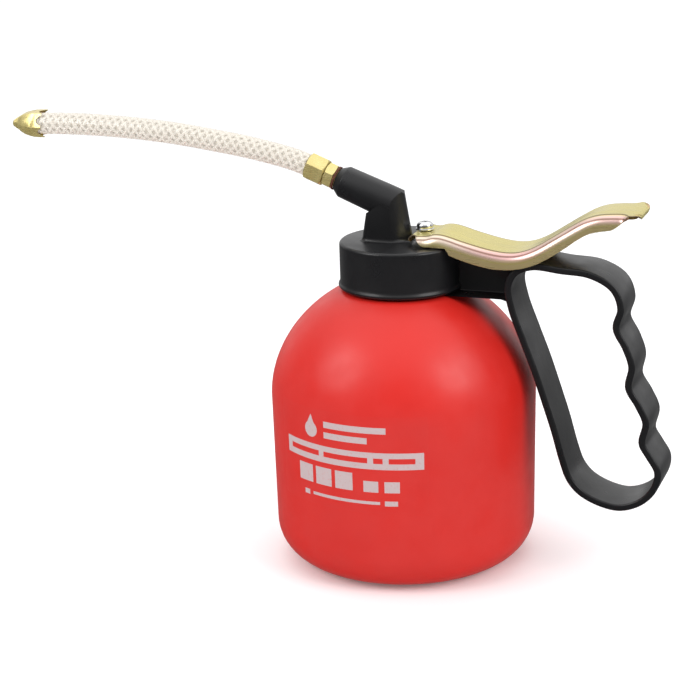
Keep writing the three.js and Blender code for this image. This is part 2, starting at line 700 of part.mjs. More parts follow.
function spoutTower() {
  const foot = capTop + GAP;
  const mitre = Math.tan((Math.PI / 2 - ARM_ANGLE) / 2);
  const onMitre = (x) => [x, elbow.z + (x - elbow.x) * mitre];
  const front = onMitre(elbow.x - SPOUT_ARM_RADIUS);
  const rear = onMitre(elbow.x + SPOUT_ARM_RADIUS);
  const lower = [
    [TOWER_X - TOWER_FOOT_FRONT - 0.1, foot], [TOWER_X - TOWER_FOOT_FRONT + 0.7, foot + 3], front, rear,
    [TOWER_X + TOWER_FOOT_REAR - 0.9, foot + 5], [TOWER_X + TOWER_FOOT_REAR + 0.1, foot],
  ];
  const lap = 0.6;
  const upper = [
    onMitre(elbow.x - 12), onMitre(elbow.x + 12), [elbow.x + 8, elbow.z + 30],
    [elbow.x - 60, elbow.z + 30], [elbow.x - 60, elbow.z - 8],
  ].map(([x, z]) => [x, z - lap]);
  const arm = turnedAlong([
    [0, -10],
    [SPOUT_ARM_RADIUS, -10],
    [SPOUT_ARM_RADIUS, 0],
    [SPOUT_ARM_RADIUS - 0.35, SPOUT_ARM_LENGTH - 2],
    [SPOUT_ARM_RADIUS - 1.7, SPOUT_ARM_LENGTH],
    [0, SPOUT_ARM_LENGTH],
  ], 36, elbow, spoutAxis);
  const spigot = post(SPIGOT_RADIUS, spigotBottom, foot + 1, 28, TOWER_X);
  const springHead = outletSpringFoot + OUTLET_SPRING_LENGTH + GAP;
  const riser = turned([
    [0, spigotBottom - 1],
    [SPIGOT_BORE, spigotBottom - 1],
    [SPIGOT_BORE, springHead],
    [1.6, springHead],
    [1.6, elbow.z],
    [0, elbow.z],
  ], 24, TOWER_X);
  const threadEnd = connectorStart - CONNECTOR_THREAD_LENGTH;
  const spoutBore = turnedAlong([
    [0, 0],
    [1.6, 0],
    [1.6, threadEnd - GAP],
    [CONNECTOR_THREAD_RADIUS + GAP, threadEnd - GAP],
    [CONNECTOR_THREAD_RADIUS + GAP, SPOUT_ARM_LENGTH + 1],
    [0, SPOUT_ARM_LENGTH + 1],
  ], 24, elbow, spoutAxis);
  return planPrism(towerFoot(), foot, elbow.z + 10).intersect(sidePrism(lower, 30))
    .add(arm.intersect(sidePrism(upper, 30)))
    .add(spigot)
    .subtract(riser)
    .subtract(spoutBore);
}

// Brass fittings, hose and nozzle

function connectorWasher() {
  const inner = CONNECTOR_THREAD_RADIUS + GAP;
  const profile = [
    [inner, washerStart], [inner + 0.6, washerStart],
    [inner + 0.6, washerStart + WASHER_THICKNESS], [inner, washerStart + WASHER_THICKNESS],
  ];
  return turnedAlong([...profile, profile[0]], 24, elbow, spoutAxis);
}

function hoseConnector() {
  const threadStart = connectorStart - CONNECTOR_THREAD_LENGTH;
  const stubEnd = nutEnd - 1.5;
  const stub = turnedAlong([
    [0, threadStart],
    [CONNECTOR_THREAD_RADIUS, threadStart],
    [CONNECTOR_THREAD_RADIUS, connectorStart + 1],
    [3.2, connectorEnd],
    [3.2, stubEnd],
    [0, stubEnd],
  ], 24, elbow, spoutAxis);
  const bore = turnedAlong(
    [[0, threadStart - 1], [1.6, threadStart - 1], [1.6, stubEnd + 1], [0, stubEnd + 1]], 16,
    elbow, spoutAxis,
  );
  return hexAlong(CONNECTOR_FLATS, connectorStart, connectorEnd, elbow, spoutAxis).add(stub).subtract(bore);
}

function chamferedHex(flats, low, high, point, direction) {
  const corner = flats / Math.sqrt(3);
  const cut = turnedAlong([
    [0, low],
    [flats / 2, low],
    [corner + 0.05, low + 0.4],
    [corner + 0.05, high - 0.4],
    [flats / 2, high],
    [0, high],
  ], 24, point, direction);
  return hexAlong(flats, low, high, point, direction).intersect(cut);
}

function hoseNut() {
  const bore = turnedAlong([
    [0, nutStart - 1],
    [3.2 + GAP, nutStart - 1],
    [3.2 + GAP, nutEnd - 1.2],
    [2.4, nutEnd - 1.2],
    [2.4, nutEnd + 1],
    [0, nutEnd + 1],
  ], 24, elbow, spoutAxis);
  return chamferedHex(NUT_FLATS, nutStart, nutEnd, elbow, spoutAxis).subtract(bore);
}

function hosePath() {
  return HOSE_ROUTE.map(([x, z]) => new THREE.Vector3(hoseStart.x + x, 0, hoseStart.z + z));
}

function hose() {
  const radius = HOSE_DIAMETER / 2;
  const section = new THREE.Shape(
    Array.from({ length: 12 }, (_, i) => new THREE.Vector2(
      radius * Math.cos((Math.PI * i) / 6),
      radius * Math.sin((Math.PI * i) / 6),
    )),
  );
  return toSolid(new THREE.ExtrudeGeometry(section, {
    steps: 14,
    extrudePath: new THREE.CatmullRomCurve3(hosePath(), false, 'centripetal'),
    bevelEnabled: false,
  }));
}

function nozzle() {
  const path = hosePath();
  const end = path[path.length - 1];
  const direction = end.clone().sub(path[path.length - 2]).normalize();
  const rear = end.clone().addScaledVector(direction, GAP - NOZZLE_SOCKET);
  const corner = NUT_FLATS / Math.sqrt(3);
  const outside = turnedAlong([
    [0, 0],
    [corner + 0.1, 0],
    [corner + 0.05, NOZZLE_LENGTH * 0.3],
    [corner - 0.25, NOZZLE_LENGTH * 0.5],
    [corner - 0.95, NOZZLE_LENGTH * 0.68],
    [2.7, NOZZLE_LENGTH * 0.8],
    [2.3, NOZZLE_LENGTH * 0.84],
    [2.2, NOZZLE_LENGTH * 0.9],
    [1.6, NOZZLE_LENGTH * 0.93],
    [1.3, NOZZLE_LENGTH],
    [0, NOZZLE_LENGTH],
  ], 24, rear, direction);
  const socketRadius = HOSE_DIAMETER / 2 + HOSE_FIT_GAP;
  const inside = turnedAlong([
    [0, -1],
    [socketRadius + 0.8, -1],
    [socketRadius + 0.6, 0],
    [socketRadius, NOZZLE_SOCKET * 0.9],
    [socketRadius, NOZZLE_SOCKET],
    [1.6, NOZZLE_SOCKET],
    [0.6, NOZZLE_LENGTH - 2],
    [0.6, NOZZLE_LENGTH + 1],
    [0, NOZZLE_LENGTH + 1],
  ], 24, rear, direction);
  return hexAlong(NUT_FLATS, 0, NOZZLE_LENGTH, rear, direction, NOZZLE_TURN).intersect(outside).subtract(inside);
}

// Finishes: colour, roughness, metalness
const FINISHES = {
  red: [0xd8262a, 0.4, 0],
  black: [0x2b2b2e, 0.5, 0],
  zinc: [0xc9b968, 0.35, 0.8],
  brass: [0xd9b95a, 0.3, 0.9],
  steel: [0xb8bcc0, 0.3, 0.9],
  clear: [0xe9e2d6, 0.4, 0],
  rubber: [0x26221f, 0.8, 0],
  fibre: [0x6b3a24, 0.8, 0],
  nylon: [0xe3e1d8, 0.5, 0],
};

const can = new THREE.Group();

function addPart(name, solid, finish) {
  const [color, roughness, metalness] = FINISHES[finish];
  const material = new THREE.MeshStandardMaterial({ color, roughness, metalness });
  const mesh = new THREE.Mesh(toGeometry(solid), material);
  mesh.name = name;
  can.add(mesh);
}

addPart('bottle', bottle(), 'red');
addPart('neck_gasket', neckGasket(), 'rubber');
addPart('head_and_handle', headAndHandle(), 'black');
addPart('spout_tower', spoutTower(), 'black');
addPart('outlet_block', outletBlock(), 'nylon');
addPart('outlet_seat', outletSeat(), 'brass');
addPart('outlet_ball', ball(OUTLET_BALL_RADIUS, outletBallZ, TOWER_X), 'steel');
addPart('outlet_spring', outletSpring(), 'steel');
addPart('lever', lever(), 'zinc');
addPart('lever_screw', leverScrew(), 'steel');
addPart('screw_washer', screwWasher(), 'steel');
addPart('plunger_rod', plungerRod(), 'steel');
addPart('rod_gland', rodGland(), 'brass');
addPart('rod_seal', rodSeal(), 'rubber');
addPart('return_spring', returnSpring(), 'steel');
addPart('piston', piston(), 'nylon');
addPart('piston_ring', pistonRing(), 'rubber');
addPart('pump_barrel', pumpBarrel(), 'nylon');
addPart('inlet_ball', ball(INLET_BALL_RADIUS, inletBallZ, PUMP_X), 'steel');
addPart('dip_tube', dipTube(), 'clear');
addPart('strainer', strainer(), 'nylon');
addPart('connector_washer', connectorWasher(), 'fibre');
addPart('hose_connector', hoseConnector(), 'brass');
addPart('hose_nut', hoseNut(), 'brass');
addPart('hose', hose(), 'clear');
addPart('nozzle', nozzle(), 'brass');

export default can;
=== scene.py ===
import math

import bmesh
import bpy
from mathutils import Matrix, Vector


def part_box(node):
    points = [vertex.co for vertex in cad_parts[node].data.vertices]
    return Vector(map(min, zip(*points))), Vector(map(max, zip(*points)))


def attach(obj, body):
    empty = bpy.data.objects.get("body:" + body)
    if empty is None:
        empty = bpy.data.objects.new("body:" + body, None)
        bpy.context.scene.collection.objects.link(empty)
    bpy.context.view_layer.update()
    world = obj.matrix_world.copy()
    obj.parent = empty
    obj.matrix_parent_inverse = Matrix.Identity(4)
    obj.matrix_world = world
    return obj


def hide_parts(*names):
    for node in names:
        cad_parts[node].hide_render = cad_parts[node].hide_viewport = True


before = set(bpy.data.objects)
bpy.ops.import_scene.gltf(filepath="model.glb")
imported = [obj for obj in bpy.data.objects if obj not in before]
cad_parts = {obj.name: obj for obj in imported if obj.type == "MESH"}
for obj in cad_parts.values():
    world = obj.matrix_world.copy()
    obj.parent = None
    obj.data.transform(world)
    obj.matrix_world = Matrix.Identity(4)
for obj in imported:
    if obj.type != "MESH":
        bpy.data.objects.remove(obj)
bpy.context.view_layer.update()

# Pieces are drawn in millimetres and brought to metres when each one is finished.
MM = 0.001


def box_mm(node):
    low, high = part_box(node)
    return low / MM, high / MM


# Places and sizes that come from the CAD model
BOTTLE_HIGH = box_mm("bottle")[1]
CAP_TOP = box_mm("head_and_handle")[1].z
ROD_LOW, ROD_HIGH = box_mm("plunger_rod")
PUMP_X = (ROD_LOW.x + ROD_HIGH.x) / 2
SCREW_HIGH = box_mm("lever_screw")[1]
WASHER_LOW, WASHER_HIGH = box_mm("screw_washer")
LEVER_HIGH = box_mm("lever")[1]

# Sizes of the mouldings, pressings and fittings
BELLY_HEIGHT = 60.75
BASE_TAPER = 0.6
BASE_FILLET = 14.5
DOME_RISE = 42.65
DOME_POWER = 1.9
BOTTLE_WALL = 2.0
NECK_WALL = 1.6
THREAD_PITCH = 4.0
CAP_RADIUS = 21.5
CAP_HEIGHT = 16.6
CAP_WALL = 1.6
CAP_DECK = 2.2
STRAP_HALF_WIDTH = 9.75
STRAP_THICKNESS = 2.4
LEVER_SHEET = 1.2
PLATE_TOP = CAP_TOP + 3.85
TOWER_X = -4.5
TOWER_HALF_WIDTH = 6.3
ARM_ANGLE = math.radians(21.6)
ARM_RADIUS = 6.0
ARM_LENGTH = 19.0
CONNECTOR_FLATS = 8.0
NUT_FLATS = 9.0
HOSE_DIAMETER = 8.0
HEX_TURN = math.radians(22)

ELBOW = Vector((-5.0, 0.0, CAP_TOP + 13.45))
SPOUT_AXIS = Vector((-math.cos(ARM_ANGLE), 0.0, math.sin(ARM_ANGLE)))
CONNECTOR_START = ARM_LENGTH + 1.1
CONNECTOR_END = CONNECTOR_START + 3.4
NUT_START = CONNECTOR_END + 0.3
NUT_END = NUT_START + 6.8
HOSE_START = ELBOW + SPOUT_AXIS * (NUT_END + 0.3)

# The hose's middle line as offsets from where it starts, the same points as in the CAD model
HOSE_ROUTE = [
    (0, 0), (-4, 1.4), (-8.5, 2.6), (-13.5, 3.7), (-19.5, 4.9), (-26.5, 6.1), (-33.5, 7.1), (-41.5, 8.2),
    (-50.5, 9.3), (-59.5, 10.1), (-68.5, 10.7), (-77.5, 11.1), (-86.5, 11.3), (-95.5, 11.25), (-105.3, 11),
]


# ---------------------------------------------------------------- camera

def make_camera():
    """A 100 mm lens, about 0.7 m away, turned 20.5 degrees round the can and looking down 17 degrees."""
    turn, pitch, roll = math.radians(20.5), math.radians(16.85), math.radians(1.64)
    distance, aim_height, across, up_shift = 0.6876, 0.060, 0.02022, -0.01526
    right = Vector((math.cos(turn), math.sin(turn), 0))
    back = Vector((math.sin(turn) * math.cos(pitch), -math.cos(turn) * math.cos(pitch), math.sin(pitch)))
    up = back.cross(right)
    side = right * math.cos(roll) - up * math.sin(roll)
    top = right * math.sin(roll) + up * math.cos(roll)
    place = Vector((0, 0, aim_height)) + back * distance - side * across - top * up_shift
    data = bpy.data.cameras.new("studio_camera")
    data.lens = 100
    data.sensor_width = 36
    camera = bpy.data.objects.new("studio_camera", data)
    camera.matrix_world = Matrix((
        (side.x, top.x, back.x, place.x),
        (side.y, top.y, back.y, place.y),
        (side.z, top.z, back.z, place.z),
        (0, 0, 0, 1),
    ))
    bpy.context.scene.collection.objects.link(camera)
    bpy.context.scene.camera = camera


make_camera()


# ---------------------------------------------------------------- modelling helpers

def smooth_line(points, count, closed=False):
    """Evenly spaced points on a centripetal Catmull-Rom curve through the given points."""
    given = [Vector(p) for p in points]
    if closed:
        ends = [given[-1], *given, given[0], given[1]]
    else:
        ends = [given[0] * 2 - given[1], *given, given[-1] * 2 - given[-2]]
    dense = []
    for a, b, c, d in zip(ends, ends[1:], ends[2:], ends[3:]):
        t0 = 0.0
        t1 = t0 + (b - a).length ** 0.5
        t2 = t1 + (c - b).length ** 0.5
        t3 = t2 + (d - c).length ** 0.5
        for i in range(24):
            t = t1 + (t2 - t1) * i / 24
            ab = a.lerp(b, (t - t0) / (t1 - t0))
            bc = b.lerp(c, (t - t1) / (t2 - t1))
            cd = c.lerp(d, (t - t2) / (t3 - t2))
            early = ab.lerp(bc, (t - t0) / (t2 - t0))
            late = bc.lerp(cd, (t - t1) / (t3 - t1))
            dense.append(early.lerp(late, (t - t1) / (t2 - t1)))
    dense.append(given[0] if closed else given[-1])
    along = [0.0]
    for p, q in zip(dense, dense[1:]):
        along.append(along[-1] + (q - p).length)
    steps = count if closed else count - 1
    spaced, k = [], 0
    for i in range(count):
        target = along[-1] * i / steps
        while k < len(along) - 2 and along[k + 1] < target:
            k += 1
        part = (target - along[k]) / max(along[k + 1] - along[k], 1e-9)
        spaced.append(dense[k].lerp(dense[k + 1], min(part, 1.0)))
    return spaced


def sideways(points, distance, closed=False):
    """The same flat line moved to its left by distance."""
    last = len(points) - 1
    moved = []
    for i, p in enumerate(points):
        before = points[i - 1] if i > 0 else points[last if closed else 0]
        after = points[i + 1] if i < last else points[0 if closed else last]
        ahead = (after - before).normalized()
        moved.append(p + Vector((-ahead.y, ahead.x)) * distance)
    return moved


def arc(centre, radius, start, end, steps):
    turns = [start + (end - start) * i / steps for i in range(steps + 1)]
    return [(centre[0] + radius * math.cos(a), centre[1] + radius * math.sin(a)) for a in turns]


def axis_matrix(point, direction):
    turn = Vector((0, 0, 1)).rotation_difference(direction).to_matrix().to_4x4()
    return Matrix.Translation(point) @ turn


def tidy_mesh(bm, distance=1e-4):
    bmesh.ops.remove_doubles(bm, verts=bm.verts, dist=distance)
    bmesh.ops.recalc_face_normals(bm, faces=bm.faces)
    return bm


def turned(profile, steps=96, place=Matrix()):
    """A turned solid about Z from (radius, height) pairs, closed on itself if it ends off the axis."""
    bm = bmesh.new()
    verts = [bm.verts.new((r, 0, z)) for r, z in profile]
    edges = [bm.edges.new(pair) for pair in zip(verts, verts[1:])]
    if profile[0][0] > 0 or profile[-1][0] > 0:
        edges.append(bm.edges.new((verts[-1], verts[0])))
    bmesh.ops.spin(
        bm, geom=verts + edges, cent=(0, 0, 0), axis=(0, 0, 1), dvec=(0, 0, 0),
        angle=2 * math.pi, steps=steps, use_merge=True, use_duplicate=False,
    )
    tidy_mesh(bm)
    bm.transform(place)
    return bm


def bevel_edges(bm, edges, radius, segments=3):
    bmesh.ops.bevel(
        bm, geom=edges, offset=radius, offset_type="OFFSET", segments=segments, profile=0.5,
        affect="EDGES", clamp_overlap=True, material=-1,
    )


def hexagon(flats, low, high, place):
    bm = bmesh.new()
    bmesh.ops.create_circle(bm, cap_ends=True, segments=6, radius=flats / math.sqrt(3))
    made = bmesh.ops.extrude_face_region(bm, geom=bm.faces[:])
    top = [v for v in made["geom"] if isinstance(v, bmesh.types.BMVert)]
    bmesh.ops.translate(bm, verts=top, vec=(0, 0, high - low))
    bmesh.ops.translate(bm, verts=bm.verts, vec=(0, 0, low))
    bmesh.ops.recalc_face_normals(bm, faces=bm.faces)
    bm.transform(place @ Matrix.Rotation(HEX_TURN, 4, "Z"))
    return bm


def mesh_object(name, bm):
    mesh = bpy.data.meshes.new(name)
    bm.to_mesh(mesh)
    bm.free()
    obj = bpy.data.objects.new(name, mesh)
    bpy.context.scene.collection.objects.link(obj)
    return obj


def apply_modifiers(obj):
    graph = bpy.context.evaluated_depsgraph_get()
    mesh = bpy.data.meshes.new_from_object(obj.evaluated_get(graph))
    old = obj.data
    obj.modifiers.clear()
    obj.data = mesh
    bpy.data.meshes.remove(old)


def carve(bm, cutters, operation="DIFFERENCE"):
    """Cuts, joins or intersects a shape with others, and gives the result back as a bmesh."""
    body = mesh_object("work", bm)
    tools = [mesh_object("tool", cutter) for cutter in cutters]
    for tool in tools:
        step = body.modifiers.new("carve", "BOOLEAN")
        step.operation = operation
        step.solver = "EXACT"
        step.object = tool
    apply_modifiers(body)
    result = bmesh.new()
    result.from_mesh(body.data)
    for obj in [body, *tools]:
        mesh = obj.data
        bpy.data.objects.remove(obj)
        bpy.data.meshes.remove(mesh)
    return tidy_mesh(result, 1e-3)


def finish(name, bm, body, material, stands_for=(), bevel=None, sharp=35):
    """Makes the piece: to metres, smooth shading, material, and the body that it rides on."""
    if bevel:
        rounded = mesh_object("work", bm)
        step = rounded.modifiers.new("edges", "BEVEL")
        step.width = bevel
        step.segments = 3
        step.limit_method = "ANGLE"
        step.angle_limit = math.radians(30)
        apply_modifiers(rounded)
        bm = bmesh.new()
        bm.from_mesh(rounded.data)
        bpy.data.objects.remove(rounded)
    bmesh.ops.scale(bm, vec=(MM, MM, MM), verts=bm.verts)
    obj = mesh_object(name, bm)
    obj.data.polygons.foreach_set("use_smooth", [True] * len(obj.data.polygons))
    obj.data.set_sharp_from_angle(angle=math.radians(sharp))
    obj.data.materials.append(material)
    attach(obj, body)
    if stands_for:
        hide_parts(*stands_for)
    return obj


# ---------------------------------------------------------------- materials

class Finish:
    """A material with a Principled shader and short ways to add procedural detail."""

    def __init__(self, name, color, roughness, metallic=0.0, **sockets):
        self.material = bpy.data.materials.new(name)
        self.material.use_nodes = True
        self.nodes = self.material.node_tree.nodes
        self.links = self.material.node_tree.links
        self.shader = self.nodes["Principled BSDF"]
        self.shader.inputs["Base Color"].default_value = (*color, 1)
        self.shader.inputs["Roughness"].default_value = roughness
        self.shader.inputs["Metallic"].default_value = metallic
        for socket, value in sockets.items():
            self.shader.inputs[socket.replace("_", " ")].default_value = value
        self.place = self.nodes.new("ShaderNodeTexCoord").outputs["Object"]

    def noise(self, scale, detail=4.0, stretch=(1, 1, 1), roughness=0.5, source=None):
        mapping = self.nodes.new("ShaderNodeMapping")
        mapping.inputs["Scale"].default_value = stretch
        self.links.new(source or self.place, mapping.inputs["Vector"])
        texture = self.nodes.new("ShaderNodeTexNoise")
        texture.inputs["Scale"].default_value = scale
        texture.inputs["Detail"].default_value = detail
        texture.inputs["Roughness"].default_value = roughness
        self.links.new(mapping.outputs["Vector"], texture.inputs["Vector"])
        return texture.outputs["Fac"]

    def span(self, value, low, high, to_low=0.0, to_high=1.0):
        node = self.nodes.new("ShaderNodeMapRange")
        node.clamp = True
        self.links.new(value, node.inputs["Value"])
        for key, number in zip(("From Min", "From Max", "To Min", "To Max"), (low, high, to_low, to_high)):
            node.inputs[key].default_value = number
        return node.outputs["Result"]

    def mix(self, factor, first, second):
        node = self.nodes.new("ShaderNodeMix")
        node.data_type = "RGBA"
        self.links.new(factor, node.inputs["Factor"])
        for socket, value in ((node.inputs[6], first), (node.inputs[7], second)):
            if isinstance(value, tuple):
                socket.default_value = (*value, 1)
            else:
                self.links.new(value, socket)
        return node.outputs[2]

    def math(self, operation, a, b=None, c=None):
        node = self.nodes.new("ShaderNodeMath")
        node.operation = operation
        for socket, value in zip(node.inputs, (a, b, c)):
            if value is None:
                continue
            if isinstance(value, (int, float)):
                socket.default_value = value
            else:
                self.links.new(value, socket)
        return node.outputs[0]

    def color(self, output):
        self.links.new(output, self.shader.inputs["Base Color"])

    def rough(self, output):
        self.links.new(output, self.shader.inputs["Roughness"])

    def bump(self, height, strength, distance):
        node = self.nodes.new("ShaderNodeBump")
        node.inputs["Strength"].default_value = strength
        node.inputs["Distance"].default_value = distance
        self.links.new(height, node.inputs["Height"])
        normal = self.shader.inputs["Normal"]
        if normal.is_linked:
            self.links.new(normal.links[0].from_socket, node.inputs["Normal"])
        self.links.new(node.outputs["Normal"], normal)


def moulded_plastic(name, light, dark, roughness, grain=0.00006):
    made = Finish(name, light, roughness, Specular_IOR_Level=0.45)
    clouds = made.span(made.noise(35, 3), 0.3, 0.7)
    made.color(made.mix(clouds, dark, light))
    speckle = made.noise(900, 2)
    made.rough(made.span(made.noise(120, 3), 0.3, 0.7, roughness - 0.05, roughness + 0.07))
    made.bump(speckle, 0.25, grain)
    return made


def red_bottle_plastic():
    """Satin red plastic with a plain light grey print of blocks and bars, wrapped round the front."""
    made = moulded_plastic("red_plastic", (0.665, 0.020, 0.014), (0.625, 0.017, 0.012), 0.38)
    made.shader.inputs["Specular IOR Level"].default_value = 0.44
    split = made.nodes.new("ShaderNodeSeparateXYZ")
    made.links.new(made.place, split.inputs[0])
    x, y, z = split.outputs
    angle = made.math("ARCTAN2", x, made.math("MULTIPLY", y, -1.0))

    def block(left, right, low, high):
        centre, half = math.radians((left + right) / 2), math.radians((right - left) / 2)
        wide = made.math("COMPARE", angle, centre, half)
        tall = made.math("COMPARE", z, (low + high) / 2 * MM, (high - low) / 2 * MM)
        return made.math("MULTIPLY", wide, tall)

    def drop(centre, low, height):
        """A plain oil drop: a round bottom and a taper to a point."""
        radius = height * 0.34
        across = made.math("MULTIPLY", made.math("SUBTRACT", angle, math.radians(centre)), 47 * MM)
        up = made.math("SUBTRACT", z, (low + radius) * MM)
        ball = made.math("LESS_THAN", made.math(
            "ADD", made.math("POWER", across, 2.0), made.math("POWER", up, 2.0)), (radius * MM) ** 2)
        slope = made.math("MULTIPLY_ADD", up, -0.5, (height - radius) * 0.5 * MM)
        taper = made.math("LESS_THAN", made.math("ABSOLUTE", across), slope)
        above = made.math("MULTIPLY", made.math("GREATER_THAN", up, radius * 0.45 * MM), taper)
        return made.math("MAXIMUM", ball, above)

    shapes = [drop(-24, 55.2, 8.2), block(-17, 11, 59.6, 61.8), block(-17, 3, 55.8, 58.0)]
    shapes += [block(left, left + 8.2, 38.6, 45.0) for left in (-32, -22, -12)]
    shapes += [block(left, left + 6.4, 38.6, 42.6) for left in (1, 10)]
    shapes += [block(-29, -26, 33.8, 35.6), block(-24, 8, 34.2, 35.3), block(10, 15.5, 33.8, 35.6)]
    band = block(-40, 26.6, 46.9, 52.9)
    for left, right in ((-37, -20), (-17.5, 3), (5.5, 9.5), (12, 23)):
        hole = made.math("SUBTRACT", 1.0, block(left, right, 49.0, 50.9))
        band = made.math("MULTIPLY", band, hole)
    ink = band
    for shape in shapes:
        ink = made.math("MAXIMUM", ink, shape)
    front = made.math("LESS_THAN", y, 0.0)
    ink = made.math("MULTIPLY", ink, front)
    worn = made.span(made.noise(1400, 3), 0.30, 0.42, 0.72, 0.94)
    plastic = made.shader.inputs["Base Color"].links[0].from_socket
    label = made.math("MULTIPLY", block(-44, 28.5, 31.0, 65.5), front)
    plastic = made.mix(made.math("MULTIPLY", label, 0.10), plastic, (0.56, 0.05, 0.045))
    made.color(made.mix(made.math("MULTIPLY", ink, worn), plastic, (0.53, 0.455, 0.46)))
    rough = made.shader.inputs["Roughness"].links[0].from_socket
    made.rough(made.math("ADD", rough, made.math("MULTIPLY", label, -0.05)))
    made.bump(made.math("ADD", label, ink), 0.25, 0.00004)
    return made.material


def black_head_plastic():
    made = moulded_plastic(
        "black_plastic", (0.0115, 0.0115, 0.0125), (0.0085, 0.0085, 0.0095), 0.32, 0.00008)
    made.shader.inputs["Specular IOR Level"].default_value = 0.38
    drag = made.noise(90, 5, stretch=(1, 1, 0.12))
    made.bump(drag, 0.10, 0.00012)
    return made.material


def yellow_zinc():
    """Yellow-passivated zinc: olive gold on the flats; where the sheet is bent, a pale pink tint with a
    painted white highlight over it, and two thin painted dark reflection lines.
    """
    made = Finish("yellow_zinc", (0.66, 0.58, 0.22), 0.30, 0.72)
    attribute = made.nodes.new("ShaderNodeAttribute")
    attribute.attribute_name = "bent"
    bent = attribute.outputs["Fac"]
    drift = made.span(made.noise(30, 3), 0.3, 0.7)
    gold = made.mix(drift, (0.72, 0.63, 0.225), (0.65, 0.56, 0.185))
    # The pale band over the bend is partly the film's pink tint and partly a painted highlight: the
    # cream-white side of the pink mix stands in for the soft boxes' reflection.
    wavy = made.math("MULTIPLY_ADD", made.noise(55, 3, stretch=(0.25, 1, 1)), 0.35, bent)
    wavy = made.math("SUBTRACT", wavy, 0.17)
    rise = made.span(wavy, 0.10, 0.30)
    fall = made.span(wavy, 0.72, 1.05, 1.0, 0.0)
    pale = made.math("MULTIPLY", rise, fall)
    patches = made.span(made.noise(40, 2, stretch=(0.3, 1, 1)), 0.35, 0.65)
    pink = made.mix(patches, (0.74, 0.40, 0.41), (0.80, 0.68, 0.56))
    face = made.mix(pale, gold, pink)
    # Painted reflection: two thin dark lines, one where the plate starts to bend and one inside the pale
    # band, stand in for the dark surroundings mirrored in the bend.
    crease = made.math("MULTIPLY", made.span(bent, 0.005, 0.05), made.span(bent, 0.16, 0.26, 1.0, 0.0))
    second = made.math("MULTIPLY", made.span(wavy, 0.42, 0.50), made.span(wavy, 0.54, 0.64, 1.0, 0.0))
    face = made.mix(made.math("MULTIPLY", crease, 0.85), face, (0.10, 0.045, 0.02))
    face = made.mix(made.math("MULTIPLY", second, 0.85), face, (0.20, 0.09, 0.06))
    flange = made.span(bent, 1.0, 1.15)
    made.color(made.mix(flange, face, made.mix(drift, (0.80, 0.66, 0.34), (0.66, 0.53, 0.24))))
    lines = made.noise(300, 4, stretch=(0.08, 1, 1))
    made.rough(made.span(lines, 0.3, 0.7, 0.20, 0.34))
    made.bump(lines, 0.05, 0.00003)
    return made.material


def turned_brass():
    made = Finish("brass", (0.80, 0.70, 0.33), 0.26, 0.62)
    tarnish = made.span(made.noise(180, 4), 0.35, 0.75)
    made.color(made.mix(tarnish, (0.80, 0.68, 0.30), (0.66, 0.54, 0.20)))
    marks = made.noise(1500, 3, stretch=(0.2, 1, 1))
    made.rough(made.span(marks, 0.3, 0.7, 0.18, 0.32))
    made.bump(marks, 0.1, 0.00003)
    return made.material


def bright_metal(name, color, low, high):
    made = Finish(name, color, low, 1.0)
    scratches = made.noise(900, 3, stretch=(1, 1, 0.1))
    made.color(made.mix(made.span(made.noise(200, 2), 0.3, 0.7), color, tuple(c * 0.86 for c in color)))
    made.rough(made.span(scratches, 0.3, 0.7, low, high))
    made.bump(scratches, 0.06, 0.00003)
    return made.material


def plain_finish(name, light, dark, roughness, grain):
    return moulded_plastic(name, light, dark, roughness, grain).material


def clear_hose_wall():
    made = Finish("clear_hose_wall", (0.88, 0.81, 0.71), 0.14, Alpha=0.42, Coat_Weight=0.5)
    made.rough(made.span(made.noise(300, 2), 0.3, 0.7, 0.08, 0.18))
    made.bump(made.noise(220, 2, stretch=(0.3, 1, 1)), 0.2, 0.0001)
    return made.material


def braid_yarn():
    made = Finish("braid_yarn", (0.88, 0.87, 0.85), 0.45, Sheen_Weight=0.2)
    fibres = made.noise(2600, 3)
    made.color(made.mix(made.span(fibres, 0.3, 0.7), (0.80, 0.775, 0.72), (0.88, 0.855, 0.80)))
    made.bump(fibres, 0.4, 0.00006)
    return made.material


def milky_core():
    made = Finish("hose_core", (0.80, 0.75, 0.67), 0.4, Subsurface_Weight=0.2)
    made.shader.inputs["Subsurface Radius"].default_value = (0.003, 0.0024, 0.0018)
    made.color(made.mix(made.span(made.noise(150, 3), 0.3, 0.7), (0.62, 0.58, 0.51), (0.72, 0.67, 0.59)))
    return made.material


RED = red_bottle_plastic()
BLACK = black_head_plastic()
ZINC = yellow_zinc()
BRASS = turned_brass()
CHROME = bright_metal("chrome", (0.80, 0.80, 0.82), 0.08, 0.16)
STEEL = bright_metal("bright_steel", (0.62, 0.63, 0.65), 0.2, 0.34)
NYLON = plain_finish("pump_nylon", (0.80, 0.78, 0.72), (0.72, 0.70, 0.63), 0.4, 0.00005)
RUBBER = plain_finish("seal_rubber", (0.022, 0.021, 0.020), (0.012, 0.012, 0.012), 0.65, 0.0001)
FIBRE = plain_finish("washer_fibre", (0.14, 0.035, 0.018), (0.08, 0.020, 0.012), 0.75, 0.00015)
WALL = clear_hose_wall()
YARN = braid_yarn()
CORE = milky_core()


# ---------------------------------------------------------------- bottle

def dome_points(radius, rise, start, end, steps):
    a, b = math.asin(start / radius), math.asin(end / radius)
    radii = [radius * math.sin(a + (b - a) * i / steps) for i in range(steps + 1)]
    return [
        (r, BELLY_HEIGHT + rise * max(0.0, 1 - (r / radius) ** DOME_POWER) ** (1 / DOME_POWER))
        for r in radii
    ]


